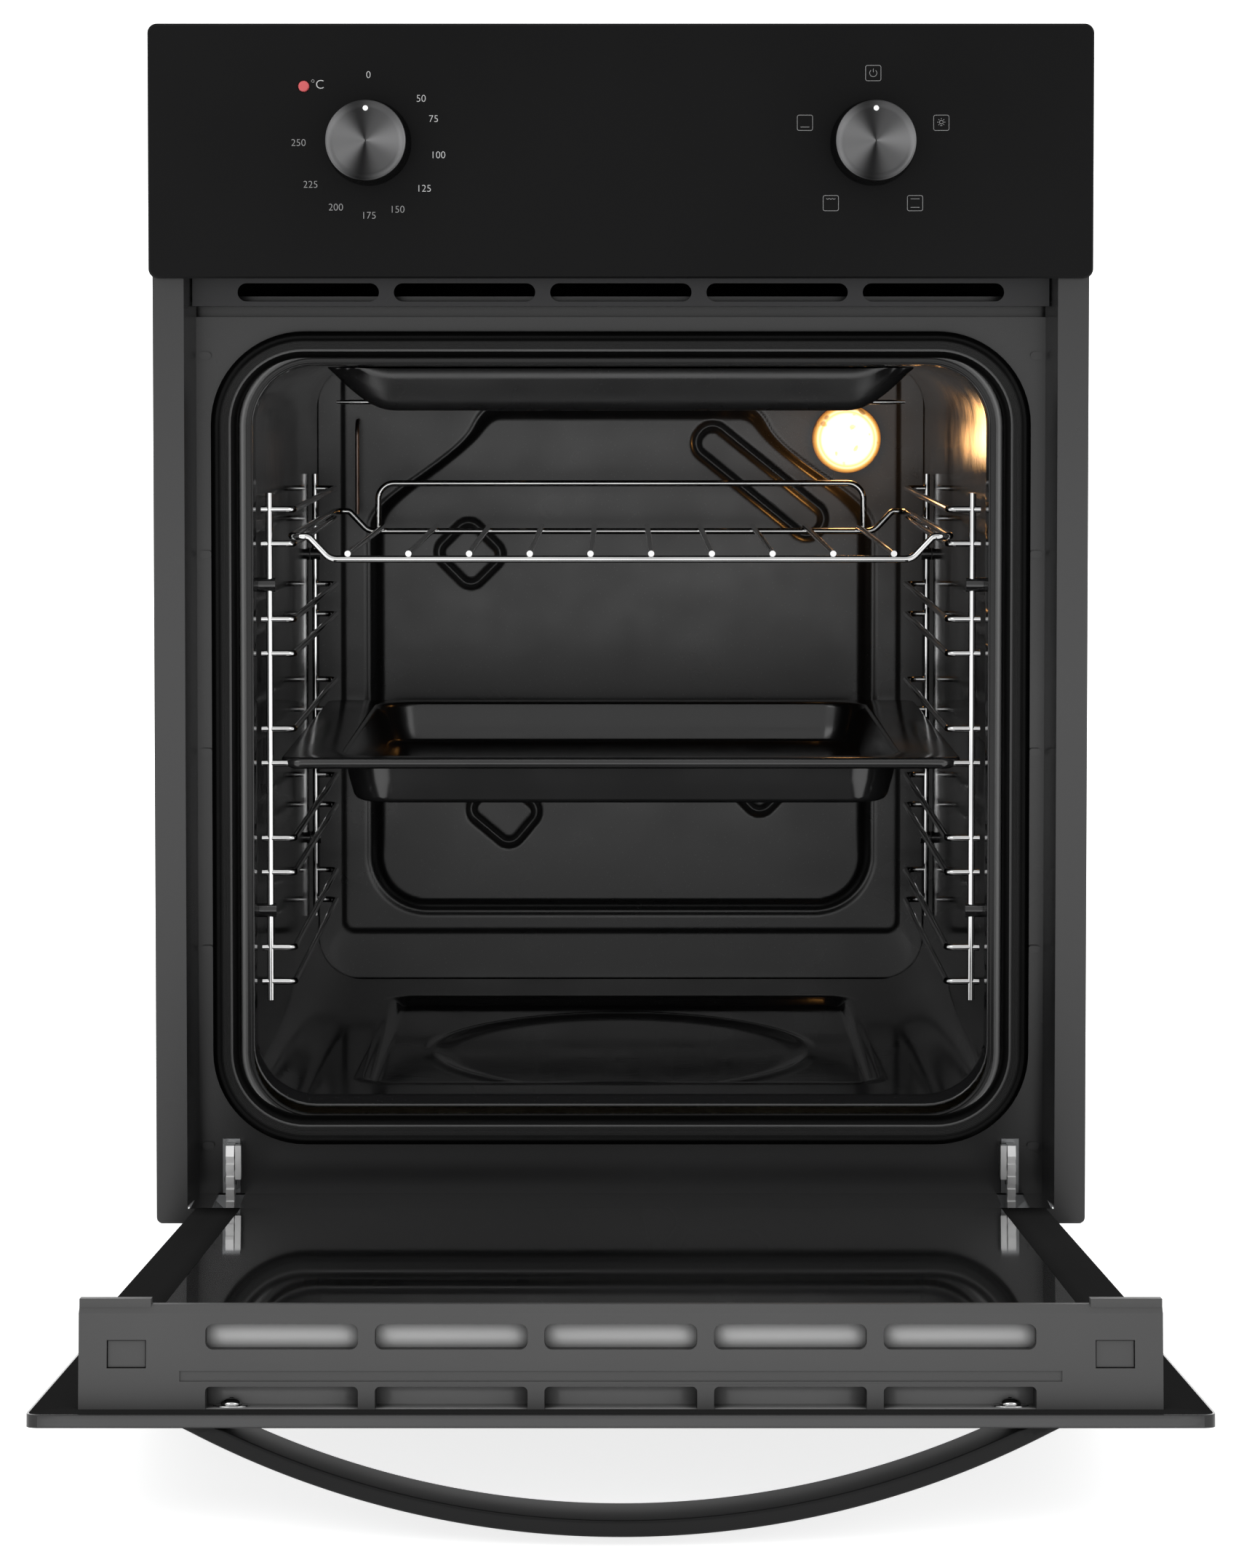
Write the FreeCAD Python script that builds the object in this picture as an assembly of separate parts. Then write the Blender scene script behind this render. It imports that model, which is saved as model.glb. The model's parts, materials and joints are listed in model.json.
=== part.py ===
"""Compact wall oven with its door open: every piece in its own STEP file.

Frame: origin at the centre of the base's underside, +Z up, the front faces -Y.
Places along the depth are given as millimetres behind the front plane, the
plane of the control panel and of the closed door, and depth() turns them to Y.
Door pieces are drawn with the door closed, then turned about the hinge line.
"""
import FreeCAD, Part
import math
import os

V = FreeCAD.Vector

# ---- driving dimensions, mm ----
WIDTH = 445.0            # control panel and door
HEIGHT = 599.0           # base underside to the panel's top
BODY_DEPTH = 550.0       # front plane to rear cover
FRONT_Y = -300.0         # Y of the front plane
BASE_FRONT = 50.0        # the base starts this far behind the front plane
CHASSIS_HALF = 210.0     # half width of the box behind the flanges
SHEET = 1.2              # sheet steel
PANEL_HEIGHT = 119.6
PANEL_THICK = 4.0
FLANGE_DEPTH = 9.0       # flange face behind the front plane
FLANGE_HALF = 221.5
FLANGE_BOTTOM = 29.0
RECESS_HALF = 206.8      # recess that the door closes into
RECESS_HALF_BACK = 204.6
RECESS_BOTTOM = 36.0
RECESS_TOP = 489.0
SEAL_DEPTH = 47.0        # plate that the gasket sits on
SEAL_TOP = 461.5
LEDGE_BACK = 60.0        # the seal plate's top edge turns back to here
VENT_DEPTH = 31.0
VENT_BOTTOM = 466.6
VENT_SLOT = (67.6, 8.7)  # length, height
VENT_PITCH = 74.7
MOUTH_HALF = 178.0       # oven mouth
MOUTH_BOTTOM = 75.0
MOUTH_TOP = 439.0
MOUTH_RADIUS = 30.0
FLOOR = 84.0
CEILING = 437.0
BACK_HALF = 173.5
BACK_DEPTH = 440.0
GASKET_HALF = 197.0
GASKET_BOTTOM = 61.6
GASKET_TOP = 454.7
GASKET_FRONT = 34.6
LEVELS = 5
LEVEL_PITCH = 53.6
LEVEL_TOP = 351.3        # lower rail of the top level
RAIL_GAP = 16.8          # lower rail to upper rail
RAIL_X = 159.5
RAIL_WIRE = 1.6
RAIL_TAIL = 4.0          # the rails' front ends stand out past the upright
RUNNER_X = 171.2
RUNNER_FRONT = 66.0
RUNNER_BACK = 384.0
KNOB_X = 118.6
KNOB_Z = 543.0
KNOB_FACE = 26.0         # how far the knob stands out
KNOB_RADIUS = 18.75
SHAFT = 3.0
INDICATOR = (-149.0, 569.5)
LAMP = (129.0, 394.6)
ELEMENT = 3.2            # radius of the heating elements
GRILL_LEG_X = 58.0
GRILL_Z = 421.0
BLOWER = (375.0, 525.0)  # depth and height of the blower's axis
INLET = (-140.0, 520.0)  # mains inlet
HINGE_DEPTH = 12.0
HINGE_Z = 16.0
DOOR_OPEN = 85.0         # degrees
DOOR_BOTTOM = 5.5
DOOR_TOP = 475.0
DOOR_PLATE = 5.0
DOOR_BODY_HALF = 202.5
DOOR_BODY_BOTTOM = 38.0
DOOR_GLASS_HALF = 201.0
DOOR_GLASS_BACK = 34.0
TRIM_TOP = 463.0
TRIM_BACK = 44.0
TRIM_HALF = 204.0
TRIM_STEP_X = 177.0      # the trim stands up by TRIM_STEP outside this
TRIM_STEP = 2.2
TRIM_PITCH = 63.8
TRIM_WINDOW = 57.5
HANDLE_HALF = 164.0
HANDLE_OUT = 40.5
HANDLE_THICK = 6.3
HANDLE_WIDTH = 38.0
SCREW_X = 147.0          # handle screws
SCREW_Z = 456.0
HINGE_X = 189.0          # middle of each hinge arm
RIVET = (41.5, 47.5)     # depth and height of the latch's rivet
RACK_X = 160.5
RACK_Z = 355.1
RACK_BAR_Z = 344.0
RACK_BAR_HALF = 141.5
RACK_FRONT = 62.0
RACK_BACK = 385.0
RACK_RODS = 10
RACK_ROD_PITCH = 29.5
RACK_GUARD = (136.0, 370.7)  # half width and height of the rear guard
TRAY_HALF = 166.0
TRAY_PAN_HALF = 137.0    # pan inside the flat side rims
TRAY_Z = 245.8           # underside of the tray's rim
TRAY_FRONT = 62.0
TRAY_BACK = 412.0
TRAY_DEPTH = 24.0

SIDES = ((-1, "left"), (1, "right"))


def depth(d):
    """Y of a place d millimetres behind the front plane."""
    return FRONT_Y + d


def box(x0, x1, d0, d1, z0, z1):
    """Box between two X, two depths and two Z."""
    return Part.makeBox(abs(x1 - x0), d1 - d0, z1 - z0, V(min(x0, x1), depth(d0), z0))


def rod_y(r, x, z, d0, d1):
    """Round bar along the depth."""
    return Part.makeCylinder(r, d1 - d0, V(x, depth(d0), z), V(0, 1, 0))


def rod_x(r, d, z, x0, x1):
    """Round bar across the oven."""
    return Part.makeCylinder(r, abs(x1 - x0), V(min(x0, x1), depth(d), z), V(1, 0, 0))


def outline(half, z0, z1, r, d, x=0.0):
    """Rounded rectangle as a wire in an upright plane at depth d."""
    y = depth(d)
    x0, x1 = x - half, x + half
    k = r * (1 - math.sqrt(0.5))
    runs = [((x0 + r, z0), (x1 - r, z0)), ((x1, z0 + r), (x1, z1 - r)),
            ((x1 - r, z1), (x0 + r, z1)), ((x0, z1 - r), (x0, z0 + r))]
    mids = [(x1 - k, z0 + k), (x1 - k, z1 - k), (x0 + k, z1 - k), (x0 + k, z0 + k)]
    edges = []
    for i, (a, b) in enumerate(runs):
        nxt = runs[(i + 1) % 4][0]
        edges.append(Part.LineSegment(V(a[0], y, a[1]), V(b[0], y, b[1])).toShape())
        mid = V(mids[i][0], y, mids[i][1])
        edges.append(Part.Arc(V(b[0], y, b[1]), mid, V(nxt[0], y, nxt[1])).toShape())
    return Part.Wire(edges)


def slab(half, z0, z1, r, d0, d1, x=0.0):
    """Upright plate with rounded corners between two depths."""
    return Part.Face(outline(half, z0, z1, r, d0, x)).extrude(V(0, d1 - d0, 0))


def level_rect(half, d0, d1, r, z):
    """Rounded rectangle wire lying level at height z."""
    y0, y1 = depth(d0), depth(d1)
    k = r * (1 - math.sqrt(0.5))
    runs = [((-half + r, y0), (half - r, y0)), ((half, y0 + r), (half, y1 - r)),
            ((half - r, y1), (-half + r, y1)), ((-half, y1 - r), (-half, y0 + r))]
    mids = [(half - k, y0 + k), (half - k, y1 - k), (-half + k, y1 - k), (-half + k, y0 + k)]
    edges = []
    for i, (a, b) in enumerate(runs):
        nxt = runs[(i + 1) % 4][0]
        edges.append(Part.LineSegment(V(a[0], a[1], z), V(b[0], b[1], z)).toShape())
        mid = V(mids[i][0], mids[i][1], z)
        edges.append(Part.Arc(V(b[0], b[1], z), mid, V(nxt[0], nxt[1], z)).toShape())
    return Part.Wire(edges)


def loft(wires):
    return Part.makeLoft(wires, True, True)


def joined(shapes):
    """One solid out of overlapping shapes."""
    first, rest = shapes[0], shapes[1:]
    whole = first.fuse(rest) if rest else first
    return whole.removeSplitter()


def group(shapes):
    """Separate solids kept in one node."""
    return Part.makeCompound(shapes)


def polygon(points, d=0.0):
    """Face through (x, z) points at depth d."""
    wire = Part.makePolygon([V(x, depth(d), z) for x, z in points + points[:1]])
    return Part.Face(wire)


def side_profile(points, x0, x1):
    """Plate across X with its outline given as (depth, z) points."""
    wire = Part.makePolygon([V(x0, depth(d), z) for d, z in points + points[:1]])
    return Part.Face(wire).extrude(V(x1 - x0, 0, 0))


def bent_wire(points, bends, r):
    """Round wire of radius r through points, each inner corner rounded by its bend radius."""
    pts = [V(x, depth(d), z) for x, d, z in points]
    edges = []
    start = pts[0]
    for before, corner, after, bend in zip(pts, pts[1:], pts[2:], bends):
        into = (corner - before).normalize()
        out = (after - corner).normalize()
        turn = into.getAngle(out)
        cut = bend * math.tan(turn / 2)
        a, b = corner - into * cut, corner + out * cut
        inward = (out - into).normalize()
        middle = corner + inward * (bend / math.cos(turn / 2) - bend)
        edges.append(Part.LineSegment(start, a).toShape())
        edges.append(Part.Arc(a, middle, b).toShape())
        start = b
    edges.append(Part.LineSegment(start, pts[-1]).toShape())
    path = Part.Wire(edges)
    way = (pts[1] - pts[0]).normalize()
    ring = Part.Wire(Part.makeCircle(r, pts[0], way))
    return path.makePipeShell([ring], True, True)


# ---- front frame, panel and casing ----

def front_frame():
    """Pressed frame: flange, recess walls and the plate that carries the gasket."""
    flange = slab(FLANGE_HALF, FLANGE_BOTTOM, HEIGHT - 5, 3, FLANGE_DEPTH, FLANGE_DEPTH + SHEET)
    flange = flange.cut(box(-RECESS_HALF, RECESS_HALF, 0, 20, RECESS_BOTTOM, RECESS_TOP))
    for side, _ in SIDES:
        flange = flange.cut(rod_y(6, side * KNOB_X, KNOB_Z, 5, 15))
    flange = flange.cut(rod_y(5, INDICATOR[0], INDICATOR[1], 5, 15))
    inner = CHASSIS_HALF + 0.1
    flange = flange.cut(box(-inner, inner, FLANGE_DEPTH + SHEET - 0.1, 15, 20, HEIGHT))
    pieces = [flange]
    d0, d1 = FLANGE_DEPTH, SEAL_DEPTH + SHEET
    for side, _ in SIDES:
        wall = Part.makePolygon([V(side * x, depth(d), RECESS_BOTTOM) for x, d in (
            (RECESS_HALF, d0), (RECESS_HALF + SHEET, d0), (RECESS_HALF_BACK + SHEET, d1),
            (RECESS_HALF_BACK, d1), (RECESS_HALF, d0))])
        pieces.append(Part.Face(wall).extrude(V(0, 0, RECESS_TOP - RECESS_BOTTOM)))
    pieces.append(box(-RECESS_HALF - 1, RECESS_HALF + 1, d0, d0 + 37.0, RECESS_TOP, RECESS_TOP + SHEET))
    edge = RECESS_HALF_BACK + 1
    pieces.append(box(-edge, edge, d0 + 0.6, d1, RECESS_BOTTOM - SHEET, RECESS_BOTTOM))
    seal = box(-edge, edge, SEAL_DEPTH, d1, RECESS_BOTTOM - SHEET, SEAL_TOP)
    mouth = slab(MOUTH_HALF, MOUTH_BOTTOM, MOUTH_TOP, MOUTH_RADIUS, SEAL_DEPTH - 5, d1 + 5)
    pieces.append(seal.cut(mouth))
    pieces.append(box(-edge, edge, SEAL_DEPTH, LEDGE_BACK, SEAL_TOP - SHEET, SEAL_TOP))
    pieces.append(box(-edge, edge, LEDGE_BACK - SHEET, LEDGE_BACK, SEAL_TOP - SHEET, SEAL_TOP + 10))
    for side, _ in SIDES:
        for n in range(5):
            z = 443.0 - n * 95.8
            lug = slab(2.9, z - 1.75, z + 1.75, 1.7, SEAL_DEPTH - 2.2, SEAL_DEPTH + 0.5, side * 200.2)
            pieces.append(lug)
    frame = joined(pieces)
    for side, _ in SIDES:
        frame = frame.cut(box(side * 182.5, side * 195.5, 0, SEAL_DEPTH + 5, 20, RECESS_BOTTOM + 0.01))
        frame = frame.cut(box(side * 186, side * 192, SEAL_DEPTH - 1, SEAL_DEPTH + 5, 40, 60))
    return frame


def vent_strip():
    """Strip with five long slots that let cooling air out above the door."""
    strip = box(-204.8, 204.8, VENT_DEPTH, VENT_DEPTH + 1, VENT_BOTTOM, RECESS_TOP)
    strip = strip.fuse(box(-204, 204, VENT_DEPTH + 0.5, SEAL_DEPTH, VENT_BOTTOM, VENT_BOTTOM + 1))
    length, high = VENT_SLOT
    z = VENT_BOTTOM + 6.6
    for n in range(-2, 3):
        slot = slab(length / 2, z - high / 2, z + high / 2, high / 2 - 0.01,
                    VENT_DEPTH - 2, VENT_DEPTH + 3, n * VENT_PITCH)
        strip = strip.cut(slot)
    return strip.removeSplitter()


def control_panel():
    """Front plate with a small bevel and holes for the shafts and the lamp."""
    z0 = HEIGHT - PANEL_HEIGHT
    plate = slab(WIDTH / 2, z0, HEIGHT, 4.5, 0, PANEL_THICK)
    front = [e for e in plate.Edges if all(abs(v.Y - depth(0)) < 1e-4 for v in e.Vertexes)]
    plate = plate.makeChamfer(0.9, front)
    for side, _ in SIDES:
        plate = plate.cut(rod_y(5, side * KNOB_X, KNOB_Z, -5, 10))
    return plate.cut(rod_y(2.9, INDICATOR[0], INDICATOR[1], -5, 10))


def panel_tray():
    """Shallow pan that stiffens the panel and hangs on the flange."""
    z0, z1 = HEIGHT - PANEL_HEIGHT + 4, HEIGHT - 4
    pan = box(-218, 218, PANEL_THICK, FLANGE_DEPTH, z0, z1)
    pan = pan.cut(box(-216.5, 216.5, PANEL_THICK - 1, FLANGE_DEPTH - 1.5, z0 + 1.5, z1 - 1.5))
    for side, _ in SIDES:
        pan = pan.cut(rod_y(5, side * KNOB_X, KNOB_Z, 0, 15))
    return pan.cut(rod_y(5, INDICATOR[0], INDICATOR[1], 0, 15))


def side_panel(side):
    """Casing side, cut back at the bottom so that the door's lower edge can turn."""
    d0 = FLANGE_DEPTH + SHEET
    pts = [(d0, RECESS_BOTTOM + 2), (BASE_FRONT, RECESS_BOTTOM + 2), (BASE_FRONT, 0),
           (BODY_DEPTH - SHEET, 0), (BODY_DEPTH - SHEET, HEIGHT - 9), (d0, HEIGHT - 9)]
    panel = side_profile(pts, side * (CHASSIS_HALF - SHEET), side * CHASSIS_HALF)
    for n in range(6):
        louvre = box(side * 200, side * 220, 420, 500, 500 + n * 12, 504 + n * 12)
        panel = panel.cut(louvre)
    return panel


def top_cover():
    top = box(-CHASSIS_HALF, CHASSIS_HALF, FLANGE_DEPTH + SHEET, BODY_DEPTH - SHEET,
              HEIGHT - 9, HEIGHT - 9 + SHEET)
    return top


def rear_cover():
    """Back sheet with louvres and the hole for the mains inlet."""
    back = box(-CHASSIS_HALF, CHASSIS_HALF, BODY_DEPTH - SHEET, BODY_DEPTH, 0, HEIGHT - 9 + SHEET)
    for n in range(9):
        x = -96 + n * 24
        back = back.cut(slab(3, 120, 330, 2.9, BODY_DEPTH - 5, BODY_DEPTH + 5, x))
    return back.cut(rod_y(10, *INLET, BODY_DEPTH - 5, BODY_DEPTH + 5))


def base_plate():
    """Base tray with its front wall under the seal plate."""
    inner = CHASSIS_HALF - SHEET
    base = box(-inner, inner, BASE_FRONT, BODY_DEPTH - SHEET, 0, SHEET)
    wall = box(-inner, inner, BASE_FRONT, BASE_FRONT + SHEET, 0, RECESS_BOTTOM - SHEET)
    return joined([base, wall])


# ---- cavity ----

def cavity_sections(grow):
    """Outlines of the cavity at its mouth, behind the lip and at the back."""
    seal = SEAL_DEPTH + SHEET
    return [
        outline(MOUTH_HALF + grow, MOUTH_BOTTOM - grow, MOUTH_TOP + grow, MOUTH_RADIUS + grow, seal),
        outline(177 + grow, FLOOR - 1 - grow, CEILING + 0.5 + grow, 28 + grow, seal + 34),
        outline(BACK_HALF + grow, FLOOR - grow, CEILING + grow, 24 + grow, BACK_DEPTH)]


def cavity_shell():
    """Enamelled box, with a shallow pressed field in its floor."""
    shell = loft(cavity_sections(SHEET)).cut(loft(cavity_sections(0)))
    field = loft([level_rect(126, 92, 369, 18, FLOOR - 1), level_rect(121, 97, 364, 16, FLOOR - 4)])
    under = loft([level_rect(127, 91, 370, 19, FLOOR - 1.2), level_rect(122, 96, 365, 17, FLOOR - 5.2)])
    cover = box(-130, 130, 90, 372, FLOOR - 1.2, FLOOR + 3)
    shell = shell.fuse(under).cut(field)
    opening = loft([level_rect(126, 92, 369, 18, FLOOR + 4), level_rect(126, 92, 369, 18, FLOOR - 1)])
    return shell.cut(opening.common(cover)).removeSplitter()


def cavity_back():
    """Back wall with its raised, bottle-shaped field, the lamp hole and the sensor hole."""
    wall = slab(BACK_HALF + SHEET, FLOOR - SHEET, CEILING + SHEET, 25, BACK_DEPTH, BACK_DEPTH + SHEET)
    wide = slab(138, 128, 320, 26, BACK_DEPTH - 4, BACK_DEPTH + 0.5)
    neck = slab(84, 300, 398, 22, BACK_DEPTH - 4, BACK_DEPTH + 0.5)
    shoulder = polygon([(-124, 316), (124, 316), (84, 352), (-84, 352)], BACK_DEPTH - 4)
    wall = joined([wall, wide, neck, shoulder.extrude(V(0, 4.5, 0))])
    wall = wall.cut(rod_y(17, LAMP[0], LAMP[1], BACK_DEPTH - 10, BACK_DEPTH + 10))
    for side, _ in SIDES:
        wall = wall.cut(rod_y(ELEMENT + 0.2, side * GRILL_LEG_X, GRILL_Z, BACK_DEPTH - 10, BACK_DEPTH + 10))
    return wall.cut(rod_y(2, -150, 405, BACK_DEPTH - 10, BACK_DEPTH + 10))


def insulation():
    """Wool wrap round the cavity, open at the mouth, with room for what passes through."""
    seal = SEAL_DEPTH + SHEET
    wrap = box(-205, 205, seal + 0.5, 475, 45, 466)
    wrap = wrap.cut(box(-182, 182, seal, BACK_DEPTH + 3, 66, 442))
    wrap = wrap.cut(box(-206, 206, seal, LEDGE_BACK + 1, SEAL_TOP - 3, 470))
    for side, _ in SIDES:
        wrap = wrap.cut(box(side * 178, side * 206, seal, 110, 30, 70))
    wrap = wrap.cut(rod_y(21, LAMP[0], LAMP[1], BACK_DEPTH, 480))
    wrap = wrap.cut(box(-156, -140, BACK_DEPTH, 480, 398, 412))
    wrap = wrap.cut(box(-70, 70, BACK_DEPTH, 480, 60, 82))
    return wrap.cut(box(-70, 70, BACK_DEPTH, 480, 414, 430))


def door_gasket():
    """Hollow silicone seal on the seal plate, standing clear of the closed door's glass."""
    ring = slab(GASKET_HALF, GASKET_BOTTOM, GASKET_TOP, 45, GASKET_FRONT, SEAL_DEPTH)
    hole = slab(GASKET_HALF - 13, GASKET_BOTTOM + 10, GASKET_TOP - 10, 36, 0, SEAL_DEPTH + 5)
    ring = ring.cut(hole)
    front = [e for e in ring.Edges if all(abs(v.Y - depth(GASKET_FRONT)) < 1e-4 for v in e.Vertexes)]
    return ring.makeChamfer(2.4, front)


def runner(side):
    """Welded wire ladder: two uprights and a pair of rails at each level."""
    top = LEVEL_TOP + RAIL_GAP + 8
    low = LEVEL_TOP - (LEVELS - 1) * LEVEL_PITCH - 9
    x_in, x_out = side * RAIL_X, side * RUNNER_X
    wires = []
    for d in (RUNNER_FRONT, RUNNER_BACK):
        wires.append(Part.makeCylinder(RAIL_WIRE + 0.15, top - low, V(x_out, depth(d), low)))
    for n in range(LEVELS):
        for rise in (0, RAIL_GAP):
            z = LEVEL_TOP - n * LEVEL_PITCH + rise
            path = [(x_out + side * RAIL_TAIL, RUNNER_FRONT, z), (x_in, RUNNER_FRONT, z),
                    (x_in, RUNNER_BACK, z), (x_out, RUNNER_BACK, z)]
            wires.append(bent_wire(path, (3.5, 6), RAIL_WIRE))
    return joined(wires)


def wall_half(d):
    """Half width of the cavity at a depth behind the lip."""
    start, half = SEAL_DEPTH + SHEET + 34, 177.0
    return half + (BACK_HALF - half) * (d - start) / (BACK_DEPTH - start)


def runner_studs(side):
    """Shouldered studs that hold the wire ladder off the cavity wall."""
    studs = []
    for d in (RUNNER_FRONT, RUNNER_BACK):
        for z in (LEVEL_TOP - 20, LEVEL_TOP - (LEVELS - 1) * LEVEL_PITCH + 35):
            stud = rod_x(3.4, d, z, side * (RUNNER_X - 3), side * (wall_half(d) - 0.3))
            wire = Part.makeCylinder(RAIL_WIRE + 0.2, 40, V(side * RUNNER_X, depth(d), z - 20))
            studs.append(stud.cut(wire))
    return group(studs)


def heater_shield():
    """Sheet tray upside down under the ceiling, which shields the grill element."""
    top, low = CEILING - 0.6, 415.5
    outer = loft([level_rect(145, 96, 350, 26, top), level_rect(118, 108, 338, 26, low)])
    inner = loft([level_rect(144.2, 96.8, 349.2, 25.2, top - 0.8),
                  level_rect(117.2, 108.8, 337.2, 25.2, low - 0.8)])
    shield = outer.cut(inner)
    for side, _ in SIDES:
        shield = shield.cut(rod_y(ELEMENT + 0.3, side * GRILL_LEG_X, GRILL_Z, 330, 360))
    return shield


def grill_element():
    """Sheathed element bent into long loops inside the shield."""
    leg = GRILL_LEG_X
    stops = [(-leg, 470), (-leg, 324), (-98, 324), (-98, 132), (-60, 132), (-60, 296), (-22, 296),
             (-22, 132), (22, 132), (22, 296), (60, 296), (60, 132), (98, 132), (98, 324),
             (leg, 324), (leg, 470)]
    path = [(x, d, GRILL_Z) for x, d in stops]
    return bent_wire(path, [14] * (len(path) - 2), ELEMENT)


def base_element():
    """Sheathed element under the cavity floor."""
    z = 72.0
    stops = [(-40, 470), (-40, 400), (-120, 400), (-120, 110), (-50, 110), (-50, 340), (50, 340),
             (50, 110), (120, 110), (120, 400), (40, 400), (40, 470)]
    path = [(x, d, z) for x, d in stops]
    return bent_wire(path, [18] * (len(path) - 2), ELEMENT)


# ---- lamp, controls and wiring ----

def lamp_holder():
    x, z = LAMP
    back = BACK_DEPTH + SHEET
    cup = rod_y(19, x, z, back, back + 32).cut(rod_y(15, x, z, back - 5, back + 26))
    neck = rod_y(7, x, z, back + 31, back + 52)
    return joined([cup, neck])


def lamp_bulb():
    x, z = LAMP
    ball = Part.makeSphere(9, V(x, depth(BACK_DEPTH + 4), z))
    return joined([ball, rod_y(6.8, x, z, BACK_DEPTH + 6, BACK_DEPTH + 27.1)])


def lamp_cover():
    """Screwed glass dome in the back wall."""
    x, z = LAMP
    dome = rod_y(19.5, x, z, BACK_DEPTH - 11, BACK_DEPTH)
    front = [e for e in dome.Edges if all(abs(v.Y - depth(BACK_DEPTH - 11)) < 1e-4 for v in e.Vertexes)]
    dome = dome.makeFillet(8, front)
    screw = rod_y(16.7, x, z, BACK_DEPTH - 1, BACK_DEPTH + 1)
    return joined([dome, screw]).cut(rod_y(14, x, z, BACK_DEPTH - 7, BACK_DEPTH + 5))


def control_body(x, half, far):
    """Switch or thermostat case with the blind bearing for its shaft."""
    d0 = FLANGE_DEPTH + SHEET
    case = box(x - half, x + half, d0 + 4, far, KNOB_Z - half, KNOB_Z + half)
    neck = rod_y(5.6, x, KNOB_Z, d0, d0 + 6)
    case = joined([case, neck])
    return case.cut(rod_y(SHAFT + 0.06, x, KNOB_Z, 0, 32.1))


def capillary():
    """Sensor tube from the thermostat over the insulation and into the cavity's rear corner."""
    path = [(-KNOB_X, 50.0, KNOB_Z), (-KNOB_X, 90, KNOB_Z), (-150, 120, 500), (-150, 490, 500),
            (-150, 490, 405), (-150, 425, 405), (-150, 425, 352)]
    return bent_wire(path, (12, 15, 20, 10, 8), 1.1)


def indicator_body():
    return rod_y(4.5, INDICATOR[0], INDICATOR[1], PANEL_THICK + 0.1, 30)


def indicator_lens():
    x, z = INDICATOR
    lens = rod_y(2.6, x, z, -1, PANEL_THICK + 0.1)
    front = [e for e in lens.Edges if all(abs(v.Y - depth(-1)) < 1e-4 for v in e.Vertexes)]
    return lens.makeFillet(0.9, front)


def terminal_block():
    block = box(-110, -60, 520, 545, 505, 530)
    for n in range(5):
        block = block.cut(Part.makeCylinder(2.2, 30, V(-104.0 + n * 10, depth(532), 515)))
    return block


def cable_inlet():
    """Flanged sleeve in the rear cover for the mains lead."""
    x, z = INLET
    sleeve = rod_y(9.9, x, z, BODY_DEPTH - 14, BODY_DEPTH)
    collar = rod_y(13, x, z, BODY_DEPTH - 6, BODY_DEPTH - SHEET)
    return joined([sleeve, collar]).cut(rod_y(6, x, z, BODY_DEPTH - 20, BODY_DEPTH + 5))


def fan_housing():
    """Scroll box of the cooling blower above the cavity."""
    case = box(-95, 95, 330, 420, 480, 570).cut(box(-93.5, 93.5, 331.5, 418.5, 481.5, 568.5))
    case = case.cut(box(-80, 80, 320, 340, 486, 520))
    for end in (-100, 90):
        case = case.cut(rod_x(26, *BLOWER, end, end + 10))
    return case


def fan_motor():
    """Motor held by a strut across the blower's right-hand end."""
    can = rod_x(20, *BLOWER, 96, 140)
    return joined([can, box(95, 97, 365, 385, 481, 569)]).cut(rod_x(2.06, *BLOWER, 80, 128))


def fan_rotor():
    """Blower drum with its blades and shaft."""
    shaft = rod_x(2, *BLOWER, -88, 127)
    discs = [rod_x(28, *BLOWER, x, x + 1.5) for x in (-84, -1, 78)]
    blades = []
    for n in range(16):
        blade = box(-84, 79.5, 397, 403, 524.4, 525.6)
        blade.rotate(V(0, depth(BLOWER[0]), BLOWER[1]), V(1, 0, 0), n * 360 / 16)
        blades.append(blade)
    return joined([shaft] + discs + blades)


# ---- knobs ----

def knob_body(x):
    """Dark skirt that widens towards the panel."""
    skirt = Part.makeCone(KNOB_RADIUS - 0.5, KNOB_RADIUS + 1.4, KNOB_FACE - 2.6,
                          V(x, depth(2 - KNOB_FACE), KNOB_Z), V(0, 1, 0))
    return skirt.cut(rod_y(SHAFT, x, KNOB_Z, 2 - KNOB_FACE + 4, 5))


def knob_cap(x):
    """Spun metal face."""
    cap = rod_y(KNOB_RADIUS, x, KNOB_Z, -KNOB_FACE, 2 - KNOB_FACE)
    front = [e for e in cap.Edges if all(abs(v.Y - depth(-KNOB_FACE)) < 1e-4 for v in e.Vertexes)]
    return cap.makeFillet(0.7, front)


def knob_shaft(x):
    return rod_y(SHAFT, x, KNOB_Z, 2 - KNOB_FACE + 4, 32)


# ---- door, drawn closed ----

def door_plate():
    """Outer panel with two holes for the handle's screws."""
    plate = slab(WIDTH / 2, DOOR_BOTTOM, DOOR_TOP, 5, 0, DOOR_PLATE)
    for side, _ in SIDES:
        plate = plate.cut(rod_y(2.3, side * SCREW_X, SCREW_Z, -5, 10))
    return plate


def door_rail(side):
    """Side channel that carries the glasses and hides the hinge case."""
    z0, z1 = DOOR_BODY_BOTTOM, 449.0
    outer, back = DOOR_BODY_HALF, DOOR_GLASS_BACK - 4.2
    x0, x1 = side * 178, side * outer
    wall = box(side * (outer - 1.5), x1, DOOR_PLATE, back, z0, z1)
    front = box(x0, x1, DOOR_PLATE, DOOR_PLATE + 1.5, z0, z1)
    rear = box(x0, x1, back - 1.5, back, z0, z1)
    return joined([wall, front, rear])


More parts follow.
